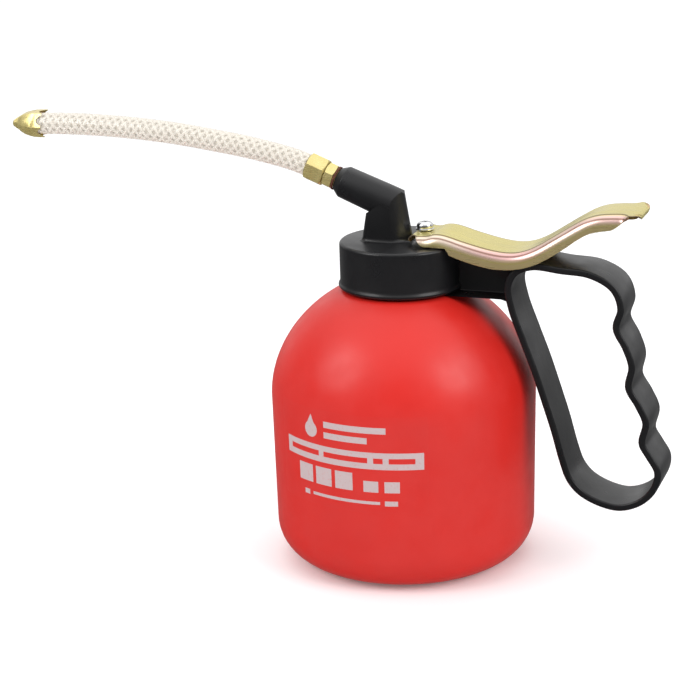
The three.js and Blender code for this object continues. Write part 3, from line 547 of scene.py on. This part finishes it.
def make_bottle():
    radius = BOTTLE_HIGH.x
    top = BOTTLE_HIGH.z
    neck = CAP_RADIUS - CAP_WALL - 1.5
    bore = neck - NECK_WALL
    inner = radius - BOTTLE_WALL
    fillet_x = radius - BASE_TAPER - BASE_FILLET
    outside = [(0, 0.0), (9, 0.0), (9.6, 0.35), (11.4, 0.35), (12, 0.0)]
    outside += arc((fillet_x, BASE_FILLET), BASE_FILLET, -math.pi / 2, 0, 16)
    outside += dome_points(radius, DOME_RISE, radius, CAP_RADIUS - 0.5, 30)
    shoulder = outside[-1][1]
    outside += [(neck + 0.4, shoulder), (neck, shoulder + 0.4), (neck, top - 0.4), (neck - 0.4, top)]
    inside = [(bore, top)]
    inside += dome_points(inner, DOME_RISE - 1.5 * BOTTLE_WALL, bore, inner, 16)
    inside += arc((fillet_x, BASE_FILLET), BASE_FILLET - BOTTLE_WALL, 0, -math.pi / 2, 10)
    inside += [(0, BOTTLE_WALL)]
    bm = turned(outside + inside, 112)
    thread = bmesh.new()
    section = bmesh.ops.create_circle(thread, cap_ends=False, segments=10, radius=0.9)["verts"]
    bmesh.ops.rotate(thread, verts=section, cent=(0, 0, 0), matrix=Matrix.Rotation(math.pi / 2, 3, "X"))
    bmesh.ops.translate(thread, verts=section, vec=(neck + 0.2, 0, shoulder + 3))
    steps = 90
    bmesh.ops.spin(
        thread, geom=thread.verts[:] + thread.edges[:], cent=(0, 0, 0), axis=(0, 0, 1),
        dvec=(0, 0, THREAD_PITCH * 1.5 / steps), angle=3 * math.pi, steps=steps,
    )
    bmesh.ops.holes_fill(thread, edges=[e for e in thread.edges if e.is_boundary])
    tidy_mesh(thread)
    mesh = bpy.data.meshes.new("thread")
    thread.to_mesh(mesh)
    thread.free()
    bm.from_mesh(mesh)
    bpy.data.meshes.remove(mesh)
    return finish("bottle_shell", bm, "bottle", RED, ["bottle"])


# ---------------------------------------------------------------- cap, arm and handle

def make_cap():
    base = CAP_TOP - CAP_HEIGHT
    bore = CAP_RADIUS - CAP_WALL
    flange = CAP_RADIUS + 0.6
    profile = [(0, CAP_TOP)]
    profile += arc((CAP_RADIUS - 1.0, CAP_TOP - 1.0), 1.0, math.pi / 2, 0, 6)
    profile += [(CAP_RADIUS, base + 2.9), (CAP_RADIUS + 0.12, base + 2.4)]
    profile += arc((flange - 0.9, base + 1.3), 0.9, 0.9, -math.pi / 2, 7)
    profile += [(CAP_RADIUS - 1.0, base), (bore, base), (bore, CAP_TOP - CAP_DECK), (0, CAP_TOP - CAP_DECK)]
    rod_hole = turned([(0, CAP_TOP - 5), (2.4, CAP_TOP - 5), (2.4, CAP_TOP + 2), (0, CAP_TOP + 2)], 32,
                      Matrix.Translation((PUMP_X, 0, 0)))
    spigot_hole = turned([(0, CAP_TOP - 5), (4.7, CAP_TOP - 5), (4.7, CAP_TOP + 2), (0, CAP_TOP + 2)], 40,
                         Matrix.Translation((TOWER_X, 0, 0)))
    bm = carve(turned(profile, 128), [rod_hole, spigot_hole])
    return finish("cap_moulding", bm, "head", BLACK, ["head_and_handle"])


def make_arm():
    """The beam from the cap to the loop, with a pocket in each side that leaves a thin web."""
    base = CAP_TOP - CAP_HEIGHT
    outline = [
        (CAP_RADIUS - 3.2, CAP_TOP - 0.45), (CAP_RADIUS - 1.2, CAP_TOP - 0.7), (30, 112.0), (43.6, 109.0),
        (41.6, 105.2), (40.9, 101.5), (41.9, 96.8), (40.4, 98.0), (38.6, base - 0.05),
        (CAP_RADIUS - 3.2, base),
    ]
    bm = bmesh.new()
    face = bm.faces.new([bm.verts.new((x, STRAP_HALF_WIDTH, z)) for x, z in outline])
    bmesh.ops.inset_individual(bm, faces=[face], thickness=2.3, depth=0, use_even_offset=True)
    rim = [f for f in bm.faces if f is not face]
    made = bmesh.ops.extrude_discrete_faces(bm, faces=[face])
    pocket = made["faces"][0]
    bmesh.ops.translate(bm, verts=pocket.verts, vec=(0, 1.0 - STRAP_HALF_WIDTH, 0))
    outer = [e for f in rim for e in f.edges if len(e.link_faces) == 1]
    made = bmesh.ops.extrude_edge_only(bm, edges=list(set(outer)))
    down = [v for v in made["geom"] if isinstance(v, bmesh.types.BMVert)]
    bmesh.ops.translate(bm, verts=down, vec=(0, -STRAP_HALF_WIDTH, 0))
    return mirror_across(bm)


def mirror_across(bm):
    bmesh.ops.mirror(bm, geom=bm.verts[:] + bm.edges[:] + bm.faces[:], axis="Y", merge_dist=1e-3)
    return tidy_mesh(bm, 1e-3)


STRAP_LINE = [
    (41.1, 103.2), (42.3, 95.6), (46.4, 84.4), (50.4, 74), (54, 63.4), (57.4, 52.9), (60.4, 42.2),
    (62.9, 35.7), (66.8, 31.4), (73.9, 28.1), (80.8, 27.3), (87.8, 30.2), (92.3, 35.6), (93.3, 41.5),
    (90.3, 46.8), (87.8, 51.3), (89, 58.5), (86.4, 64.5), (82.9, 70.7), (83.9, 78), (81.8, 84.4),
    (78.4, 91.2), (79.9, 98), (77.3, 104.6), (69.6, 108.9), (59.4, 109.9), (49.4, 110.6), (43.6, 108.2),
]


def make_strap():
    """The loop: a flat band with rounded edges, wavy at the rear where the fingers go."""
    middle = smooth_line(STRAP_LINE, 220, closed=True)
    inner = sideways(middle, STRAP_THICKNESS / 2, closed=True)
    outer = sideways(middle, -STRAP_THICKNESS / 2, closed=True)
    bm = bmesh.new()
    count = len(middle)
    near = [[bm.verts.new((p.x, -STRAP_HALF_WIDTH, p.y)) for p in ring] for ring in (inner, outer)]
    for i in range(count):
        j = (i + 1) % count
        bm.faces.new((near[0][i], near[0][j], near[1][j], near[1][i]))
    made = bmesh.ops.extrude_face_region(bm, geom=bm.faces[:])
    far = [v for v in made["geom"] if isinstance(v, bmesh.types.BMVert)]
    bmesh.ops.translate(bm, verts=far, vec=(0, 2 * STRAP_HALF_WIDTH, 0))
    bmesh.ops.recalc_face_normals(bm, faces=bm.faces)
    rims = [
        e for e in bm.edges
        if abs(e.verts[0].co.y - e.verts[1].co.y) < 1e-6
        and abs(e.calc_face_angle(0.0) - math.pi / 2) < 0.1
    ]
    bevel_edges(bm, rims, 0.65, 4)
    return bm


# ---------------------------------------------------------------- spout tower

def slice_off(bm, point, outward):
    """Cuts away what lies beyond a plane, and closes the cut."""
    cut = bmesh.ops.bisect_plane(
        bm, geom=bm.verts[:] + bm.edges[:] + bm.faces[:], plane_co=point, plane_no=outward,
        clear_outer=True,
    )
    bmesh.ops.holes_fill(bm, edges=[e for e in cut["geom_cut"] if isinstance(e, bmesh.types.BMEdge)])
    return tidy_mesh(bm)


def tower_plan():
    """The foot's outline: a round-cornered front, flat sides, and a rear turned in from a crease."""
    front, rear, crease = TOWER_X - 8.4, TOWER_X + 9.1, -1.5
    half = [(front, 3.2)]
    for i in range(1, 6):
        turn = math.pi / 2 * i / 5
        half.append((front + 3.0 * (1 - math.cos(turn)), 3.2 + (TOWER_HALF_WIDTH - 3.2) * math.sin(turn)))
    half.append((crease, TOWER_HALF_WIDTH))
    turn_in = [(-0.35, 5.72), (0.9, 4.95), (2.05, 3.98), (3.05, 2.88), (3.85, 1.72), (4.4, 0.6)]
    half += [(x - 4.6 + rear, y) for x, y in turn_in]
    return half + [(x, -y) for x, y in reversed(half)]


def make_tower():
    foot = CAP_TOP + 0.3
    front, rear, rise = TOWER_X - 8.4, TOWER_X + 9.1, 26.0
    lean = 0.172
    mitre = (math.pi / 2 - ARM_ANGLE) / 2
    across = Vector((-math.sin(mitre), 0, math.cos(mitre)))
    stem = bmesh.new()
    face = stem.faces.new([stem.verts.new((x, y, foot)) for x, y in tower_plan()])
    made = bmesh.ops.extrude_face_region(stem, geom=[face])
    top = [v for v in made["geom"] if isinstance(v, bmesh.types.BMVert)]
    bmesh.ops.translate(stem, verts=top, vec=(0, 0, rise))
    for v in top:
        share = (v.co.x - front) / (rear - front)
        v.co.x += lean * rise * (1 - 2 * share)
        v.co.y *= 0.93
    bmesh.ops.recalc_face_normals(stem, faces=stem.faces)
    above = bmesh.new()
    bmesh.ops.create_cube(above, size=1)
    beside = Matrix.Translation((20, 0, 0)) @ Matrix.Diagonal((40, 60, 60, 1))
    above.transform(axis_matrix(ELBOW, SPOUT_AXIS) @ beside)
    tunnel = turned([(0, -40), (ARM_RADIUS, -40), (ARM_RADIUS, 40), (0, 40)], 96,
                    axis_matrix(ELBOW, SPOUT_AXIS))
    stem = carve(stem, [carve(above, [tunnel])])
    slice_off(stem, ELBOW + across * 0.3, across)
    profile = [(0, -9), (ARM_RADIUS, -9), (ARM_RADIUS, 0), (ARM_RADIUS - 0.3, ARM_LENGTH - 2.8),
               (ARM_RADIUS - 0.36, ARM_LENGTH - 2.5), (ARM_RADIUS - 0.5, ARM_LENGTH - 2.3),
               (ARM_RADIUS - 1.8, ARM_LENGTH - 0.3), (ARM_RADIUS - 2.0, ARM_LENGTH - 0.08),
               (ARM_RADIUS - 2.2, ARM_LENGTH), (3.4, ARM_LENGTH), (3.4, ARM_LENGTH - 8),
               (0, ARM_LENGTH - 8)]
    arm = turned(profile, 96, axis_matrix(ELBOW, SPOUT_AXIS))
    slice_off(arm, ELBOW - across * 0.3, -across)
    spigot = turned([(2.6, foot - 5.7), (4.4, foot - 5.7), (4.4, foot + 1), (2.6, foot + 1)], 40,
                    Matrix.Translation((TOWER_X, 0, 0)))
    bm = carve(stem, [arm, spigot], "UNION")
    # the outer corner of the elbow, where the top of the arm would meet the rear of the tower
    arm_top = Vector((math.sin(ARM_ANGLE), 0, math.cos(ARM_ANGLE)))
    rear_way = Vector((1, 0, lean)).normalized()
    on_top = ELBOW + arm_top * (ARM_RADIUS + 0.02)
    on_rear = Vector((rear + 0.02, 0, foot))
    det = arm_top.x * rear_way.z - arm_top.z * rear_way.x
    a, b = arm_top.dot(on_top), rear_way.dot(on_rear)
    corner = Vector(((a * rear_way.z - arm_top.z * b) / det, 0, (arm_top.x * b - a * rear_way.x) / det))
    radius = 3.0
    centre = corner - (arm_top + rear_way) * (radius / (1 + arm_top.dot(rear_way)))
    for step in range(9):
        way = arm_top.slerp(rear_way, step / 8)
        slice_off(bm, centre + way * radius, way)
    return finish("spout_tower_moulding", bm, "head", BLACK, ["spout_tower"], sharp=20)


def make_tower_fillet():
    """The small concave fillet where the tower stands on the cap."""
    foot = CAP_TOP + 0.05
    bm = bmesh.new()
    plan = [Vector(p) for p in tower_plan()]
    centre = Vector((TOWER_X, 0))
    rows = []
    for out, up in ((1.0, 0.0), (0.62, 0.12), (0.32, 0.34), (0.12, 0.68), (0.02, 1.1)):
        grown = [p + (p - centre).normalized() * out for p in plan]
        rows.append([bm.verts.new(p.to_tuple() + (foot + up,)) for p in grown])
    for lower, upper in zip(rows, rows[1:]):
        ring = [bm.edges.get(pair) or bm.edges.new(pair) for pair in zip(lower, lower[1:] + lower[:1])]
        rim = [bm.edges.get(pair) or bm.edges.new(pair) for pair in zip(upper, upper[1:] + upper[:1])]
        bmesh.ops.bridge_loops(bm, edges=ring + rim)
    bmesh.ops.holes_fill(bm, edges=[e for e in bm.edges if len(e.link_faces) == 1])
    tidy_mesh(bm)
    return finish("tower_foot_fillet", bm, "head", BLACK)


# ---------------------------------------------------------------- lever

def lever_top_line():
    edge_x = math.sqrt(CAP_RADIUS ** 2 - (STRAP_HALF_WIDTH + 0.35) ** 2)
    return [
        (PUMP_X - 3.9, CAP_TOP + 1.6), (PUMP_X - 3.5, PLATE_TOP - 1.1), (PUMP_X - 2.3, PLATE_TOP - 0.2),
        (PUMP_X + 3.3, PLATE_TOP + 0.02), (PUMP_X + 5.8, CAP_TOP + 4.55), (edge_x - 1.5, CAP_TOP + 4.6),
        (21, 119), (24, 118.1), (28, 117.05), (32, 116.1), (36, 115.35), (40, 114.95), (44, 115.2),
        (48, 116.4), (52, 118.45), (56, 121), (60, 123.6), (64, 126.1), (68, 128.3), (72, 129.6),
        (76, 130.1), (80, 130.3), (83.6, 130.25), (85.3, 129.95), (85.9, 129.2), (85.7, 128.1),
    ]


def flange_bottom_line():
    edge_x = math.sqrt(CAP_RADIUS ** 2 - (STRAP_HALF_WIDTH + 0.35) ** 2)
    rear = smooth_line([
        (23.3, CAP_TOP - 2.8), (28.4, 110.9), (35, 109.55), (41, 109.4), (46, 110.1), (51, 111.8),
        (56, 114.6), (61.3, 118.1), (65, 120.9), (69.3, 123.4),
        (73, 124.4), (77, 125.2), (79.5, 127), (81.5, 129.4),
        (82.6, 130.3),
    ], 90)
    return [
        (PUMP_X - 0.9, PLATE_TOP), (PUMP_X + 0.4, PLATE_TOP - 1.2), (PUMP_X + 1.2, CAP_TOP + 1.35),
        (PUMP_X + 2.6, CAP_TOP + 0.65), (PUMP_X + 6, CAP_TOP + 0.4), (edge_x + 0.4, CAP_TOP + 0.4),
        (edge_x + 1.5, CAP_TOP - 0.9), (edge_x + 1.9, CAP_TOP - 1.9), *[(p.x, p.y) for p in rear],
    ]


def height_at(line, x):
    for (x0, z0), (x1, z1) in zip(line, line[1:]):
        if x0 <= x <= x1:
            return z0 + (z1 - z0) * (x - x0) / max(x1 - x0, 1e-9)
    return None


def turn_down(point, normal, line):
    """How far the side turns down, square to the plate, before it meets the flange's bottom edge."""
    depth = 0.05
    while depth < 12:
        x, z = point.x - normal.x * depth, point.y - normal.y * depth
        floor = height_at(line, x)
        if floor is None or z < floor + 0.12:
            break
        depth += 0.05
    return depth


def make_lever():
    """One pressing: a plate whose long edges turn down through a wide bend into flanges."""
    wide = LEVER_HIGH.y
    line = smooth_line(lever_top_line(), 160)
    bottom = flange_bottom_line()
    along = [0.0]
    for p, q in zip(line, line[1:]):
        along.append(along[-1] + (q - p).length)
    bend = 3.3
    stations = []
    for i, p in enumerate(line):
        ahead = (line[min(i + 1, len(line) - 1)] - line[max(i - 1, 0)]).normalized()
        normal = Vector((-ahead.y, ahead.x))
        to_end = along[-1] - along[i]
        if p.x < PUMP_X + 1 and along[i] < 14:
            step = min(max((p.x - PUMP_X + 1.7) / 2.4, 0), 1)
            half = 7.6 + (wide - 7.6) * step * step * (3 - 2 * step)
        else:
            half = wide * (1 - 0.5 * max(0.0, 1 - to_end / 6) ** 2.2)
        depth = turn_down(p, normal, bottom) if to_end > 4 and p.x > PUMP_X - 0.9 else 0.05
        angle = math.acos(1 - depth / bend) if depth < bend else math.pi / 2
        stations.append((p, normal, half - bend * math.sin(angle), angle, max(0.0, depth - bend)))
    bm = bmesh.new()
    bent = bm.verts.layers.float.new("bent")
    spine = [bm.verts.new((p.x, 0, p.y)) for p in line]
    row = spine
    edges = [bm.edges.new(pair) for pair in zip(row, row[1:])]
    steps = [("flat", 1.9)] + [("flat", share) for share in (0.45, 0.7, 0.88, 1.0)]
    steps += [("bend", k / 9) for k in range(1, 10)] + [("flange", k / 3) for k in (1, 2, 3)]
    for kind, share in steps:
        made = bmesh.ops.extrude_edge_only(bm, edges=edges)
        fresh = {v for v in made["geom"] if isinstance(v, bmesh.types.BMVert)}
        row = [next(e.other_vert(v) for e in v.link_edges if e.other_vert(v) in fresh) for v in row]
        for v, (p, normal, flat, angle, flange) in zip(row, stations):
            turned_by = angle * share if kind == "bend" else (angle if kind == "flange" else 0)
            drop = bend * (1 - math.cos(turned_by)) + (max(flange, 0.15) * share if kind == "flange" else 0)
            reach = flat * share if kind == "flat" and share <= 1 else flat + bend * math.sin(turned_by)
            if share > 1:
                reach = share
            v.co = (p.x - normal.x * drop, reach, p.y - normal.y * drop)
            v[bent] = turned_by / (math.pi / 2) + (share if kind == "flange" else 0)
        edges = [bm.edges.get(pair) for pair in zip(row, row[1:])]
    slot = [
        f for f in bm.faces
        if abs(f.calc_center_median().x - PUMP_X) < 2.7 and f.calc_center_median().y < 1.9
        and f.calc_center_median().z > PLATE_TOP - 1
    ]
    bmesh.ops.delete(bm, geom=slot, context="FACES")
    mirror_across(bm)
    if sum(f.normal.z * f.calc_area() for f in bm.faces) < 0:
        bmesh.ops.reverse_faces(bm, faces=bm.faces)
    work = mesh_object("work", bm)
    wall = work.modifiers.new("sheet", "SOLIDIFY")
    wall.thickness = LEVER_SHEET
    wall.offset = -1
    wall.use_even_offset = False
    rounded = work.modifiers.new("sheet_edges", "BEVEL")
    rounded.width = 0.22
    rounded.segments = 2
    rounded.limit_method = "ANGLE"
    rounded.angle_limit = math.radians(50)
    apply_modifiers(work)
    bm = bmesh.new()
    bm.from_mesh(work.data)
    bpy.data.objects.remove(work)
    return finish("lever_pressing", bm, "lever", ZINC, ["lever"], sharp=40)


def make_screw():
    """A pan head with a cross recess."""
    top = SCREW_HIGH.z
    seat = WASHER_HIGH.z + 0.05
    radius = 2.9
    low = box_mm("lever_screw")[0].z
    profile = [(0, low), (1.3, low), (1.6, low + 0.4), (1.6, seat), (radius - 0.1, seat),
               (radius, seat + 0.15), (radius, top - 1.15), (radius - 0.25, top - 0.65),
               (radius - 0.85, top - 0.22),
               (radius - 1.7, top - 0.04), (0, top)]
    centre = Matrix.Translation((PUMP_X, 0, 0))
    recess = []
    for turn in (math.radians(33), math.radians(123)):
        bar = bmesh.new()
        bmesh.ops.create_cube(bar, size=1)
        bmesh.ops.scale(bar, verts=bar.verts, vec=(3.3, 0.62, 3))
        for v in bar.verts:
            if v.co.z < 0:
                v.co.x *= 0.45
                v.co.y *= 0.7
        bar.transform(centre @ Matrix.Translation((0, 0, top + 0.2)) @ Matrix.Rotation(turn, 4, "Z"))
        recess.append(bar)
    bm = carve(turned(profile, 56, centre), recess)
    finish("pan_head_screw", bm, "plunger", CHROME, ["lever_screw"])
    low, high = WASHER_LOW.z, WASHER_HIGH.z
    ring = [(1.8, low + 0.06), (1.9, low), (3.1, low), (3.2, low + 0.08), (3.2, high - 0.12), (3.05, high),
            (1.9, high), (1.8, high - 0.08)]
    finish("screw_washer_ring", turned(ring, 56, centre), "plunger", CHROME, ["screw_washer"])


# ---------------------------------------------------------------- brass fittings

def make_connector():
    place = axis_matrix(ELBOW, SPOUT_AXIS)
    corner = CONNECTOR_FLATS / math.sqrt(3)
    low, high = CONNECTOR_START, CONNECTOR_END
    round_off = turned([(0, low), (CONNECTOR_FLATS / 2 + 0.1, low), (corner + 0.05, low + 0.35),
                        (corner + 0.05, high - 0.5), (CONNECTOR_FLATS / 2, high), (0, high)], 72, place)
    hexa = carve(hexagon(CONNECTOR_FLATS, low, high, place), [round_off], "INTERSECT")
    stub = turned([(1.6, low - 8), (3.1, low - 8), (3.4, low - 7.6), (3.4, low - 0.4), (3.0, low - 0.2),
                   (3.0, low + 0.2), (3.2, high - 0.2), (3.2, NUT_END - 1.5), (1.6, NUT_END - 1.5)],
                  48, place)
    bm = carve(hexa, [stub], "UNION")
    return finish("hose_connector_brass", bm, "head", BRASS, ["hose_connector"], bevel=0.1)


def make_nut():
    place = axis_matrix(ELBOW, SPOUT_AXIS)
    corner = NUT_FLATS / math.sqrt(3)
    low, high = NUT_START, NUT_END
    round_off = turned([(0, low), (NUT_FLATS / 2 - 0.1, low), (corner + 0.05, low + 0.55),
                        (corner + 0.05, high - 0.5), (NUT_FLATS / 2, high), (0, high)], 72, place)
    bore = turned([(0, low - 1), (3.5, low - 1), (3.5, high - 1.2), (3.0, high - 0.8), (3.9, high + 0.2),
                   (0, high + 0.2)], 48, place)
    bm = carve(hexagon(NUT_FLATS, low, high, place), [round_off], "INTERSECT")
    bm = carve(bm, [bore])
    return finish("hose_nut_brass", bm, "head", BRASS, ["hose_nut"], bevel=0.1)


def hose_points():
    return [Vector((HOSE_START.x + x, 0.0, HOSE_START.z + z)) for x, z in HOSE_ROUTE]


def make_nozzle():
    """Hexagon bar turned to a stepped cone; the socket cuts the flats away and leaves six crown points."""
    points = hose_points()
    ahead = (points[-1] - points[-2]).normalized()
    socket = 3.1
    length = 13.6
    rear = points[-1] + ahead * (0.3 - socket)
    place = axis_matrix(rear, ahead)
    corner = NUT_FLATS / math.sqrt(3)
    sides = turned([
        (0, 0), (corner, 0), (corner, 2.6), (corner - 0.08, 4.4), (corner - 0.3, 6.1), (corner - 0.8, 8.2),
        (corner - 1.35, 9.4), (corner - 2.0, 10.4), (1.4, 10.6), (1.4, 12.5), (0, 12.5),
    ], 6, place @ Matrix.Rotation(HEX_TURN, 4, "Z"))
    outside = turned([
        (0, 0), (corner + 0.1, 0), (corner + 0.1, 2.0), (corner - 0.08, 4.4), (corner - 0.42, 6.1),
        (corner - 1.0, 8.2), (corner - 1.6, 9.4), (2.95, 10.4), (0, 10.4),
    ], 96, place)
    rings = turned([
        (0, 10.2), (2.7, 10.2), (2.5, 10.45), (2.6, 10.7), (2.5, 11.1), (2.2, 11.35), (2.0, 11.45),
        (2.12, 11.65), (2.0, 12.05), (1.7, 12.3), (1.5, 12.4), (1.55, 12.65), (1.4, 13.0), (1.1, 13.35),
        (0.7, length), (0, length),
    ], 64, place)
    lip = HOSE_DIAMETER / 2 + 0.35
    hole = turned([(0, -1), (lip + 0.9, -1), (lip + 0.6, 0), (lip, 2.8), (lip, socket), (1.6, socket),
                   (0.6, length - 2), (0.6, length + 1), (0, length + 1)], 64, place)
    bm = carve(sides, [outside], "INTERSECT")
    bm = carve(bm, [rings], "UNION")
    bm = carve(bm, [hole])
    return finish("nozzle_brass", bm, "head", BRASS, ["nozzle"], bevel=0.08)


# ---------------------------------------------------------------- hose

def curve_piece(name, lines, radius, material, resolution=6, caps=True):
    data = bpy.data.curves.new(name, "CURVE")
    data.dimensions = "3D"
    data.bevel_depth = radius * MM
    data.bevel_resolution = resolution
    data.use_fill_caps = caps
    data.twist_mode = "MINIMUM"
    for line in lines:
        spline = data.splines.new("POLY")
        spline.points.add(len(line) - 1)
        for point, p in zip(spline.points, line):
            point.co = (*(p * MM), 1)
        spline.use_smooth = True
    obj = bpy.data.objects.new(name, data)
    bpy.context.scene.collection.objects.link(obj)
    data.materials.append(material)
    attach(obj, "head")
    return obj


def make_hose():
    """A clear wall over a white diamond braid on a milky core, from the nut to the nozzle."""
    middle = smooth_line(hose_points(), 61)
    wall = curve_piece("hose_clear_wall", [middle], HOSE_DIAMETER / 2, WALL, 10)
    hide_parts("hose")
    core = curve_piece("hose_inner_tube", [middle], 2.75, CORE, 8)
    strands, lead, radius, swing = 6, 18.0, 3.25, 0.16
    path = smooth_line(hose_points(), 420)
    step = sum((q - p).length for p, q in zip(path, path[1:])) / (len(path) - 1)
    yarns = []
    for way in (1, -1):
        for k in range(strands):
            yarn = []
            for i, p in enumerate(path):
                ahead = (path[min(i + 1, len(path) - 1)] - path[max(i - 1, 0)]).normalized()
                side = Vector((0, 1, 0))
                up = ahead.cross(side)
                turn = way * (2 * math.pi * i * step / lead) + 2 * math.pi * k / strands
                weave = way * swing * math.cos(strands * 2 * math.pi * i * step / lead)
                yarn.append(p + (side * math.cos(turn) + up * math.sin(turn)) * (radius + weave))
            yarns.append(yarn)
    braid = curve_piece("hose_braid", yarns, 0.55, YARN, 2, caps=True)


nozzle_piece = make_nozzle()
make_hose()
make_bottle()
make_cap()
finish("handle_arm", make_arm(), "head", BLACK, bevel=0.5)
finish("handle_loop", make_strap(), "head", BLACK)
make_tower()
make_tower_fillet()
make_lever()
make_screw()
make_connector()
make_nut()


# ---------------------------------------------------------------- carried-over nodes

def paint(node, material):
    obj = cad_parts[node]
    obj.data.materials.clear()
    obj.data.materials.append(material)


for node in ("outlet_block", "piston", "pump_barrel", "strainer"):
    paint(node, NYLON)
for node in ("neck_gasket", "rod_seal", "piston_ring"):
    paint(node, RUBBER)
for node in ("outlet_seat", "rod_gland"):
    paint(node, BRASS)
for node in ("outlet_ball", "outlet_spring", "plunger_rod", "return_spring", "inlet_ball"):
    paint(node, STEEL)
paint("dip_tube", CORE)
paint("connector_washer", FIBRE)


# ---------------------------------------------------------------- studio

def make_floor():
    bm = bmesh.new()
    bmesh.ops.create_grid(bm, x_segments=1, y_segments=1, size=6)
    floor = mesh_object("studio_floor", bm)
    pale = Finish("pale_floor", (0.92, 0.92, 0.93), 0.6, Emission_Strength=0.12)
    pale.shader.inputs["Emission Color"].default_value = (1.0, 1.0, 1.0, 1.0)
    pale.color(pale.mix(pale.noise(3, 2), (0.91, 0.91, 0.92), (0.93, 0.93, 0.94)))
    floor.data.materials.append(pale.material)
    floor.visible_glossy = False


def soft_box(name, turn, rise, distance, size, power, aim=(0, 0, 0.07)):
    """A square light that looks at the can from a direction given in degrees; a turn of 0 is the front."""
    turn, rise = math.radians(turn), math.radians(rise)
    way = Vector((math.sin(turn) * math.cos(rise), -math.cos(turn) * math.cos(rise), math.sin(rise)))
    data = bpy.data.lights.new(name, "AREA")
    data.shape = "SQUARE"
    data.size = size
    data.energy = power
    light = bpy.data.objects.new(name, data)
    light.location = Vector(aim) + way * distance
    light.rotation_euler = (-way).to_track_quat("-Z", "Y").to_euler()
    bpy.context.scene.collection.objects.link(light)


def make_lights():
    """A white tent that is brightest above and behind, darker in front, and two square soft boxes."""
    world = bpy.data.worlds.new("studio")
    world.use_nodes = True
    nodes, links = world.node_tree.nodes, world.node_tree.links
    background = nodes["Background"]
    background.inputs["Color"].default_value = (1, 1, 1, 1)
    split = nodes.new("ShaderNodeSeparateXYZ")
    links.new(nodes.new("ShaderNodeTexCoord").outputs["Generated"], split.inputs[0])

    def ramp(source, low, high, to_low, to_high):
        node = nodes.new("ShaderNodeMapRange")
        node.interpolation_type = "SMOOTHSTEP"
        links.new(source, node.inputs["Value"])
        for key, number in zip(("From Min", "From Max", "To Min", "To Max"), (low, high, to_low, to_high)):
            node.inputs[key].default_value = number
        return node.outputs["Result"]

    def combine(operation, a, b):
        node = nodes.new("ShaderNodeMath")
        node.operation = operation
        links.new(a, node.inputs[0])
        links.new(b, node.inputs[1])
        return node.outputs[0]

    overhead = ramp(split.outputs["Z"], 0.35, 0.95, 0.0, 1.15)
    behind = ramp(split.outputs["Y"], 0.0, 0.8, 0.20, 0.85)
    above_ground = ramp(split.outputs["Z"], -0.12, 0.05, 0.27, 1.0)
    brightness = combine("MULTIPLY", combine("ADD", overhead, behind), above_ground)
    links.new(brightness, background.inputs["Strength"])
    bpy.context.scene.world = world
    soft_box("box_left", -47, 34, 1.2, 0.62, 5.4)
    soft_box("box_right", 72, 32, 1.2, 0.62, 6.2)
    bpy.context.scene.view_settings.view_transform = "Standard"


make_floor()
make_lights()
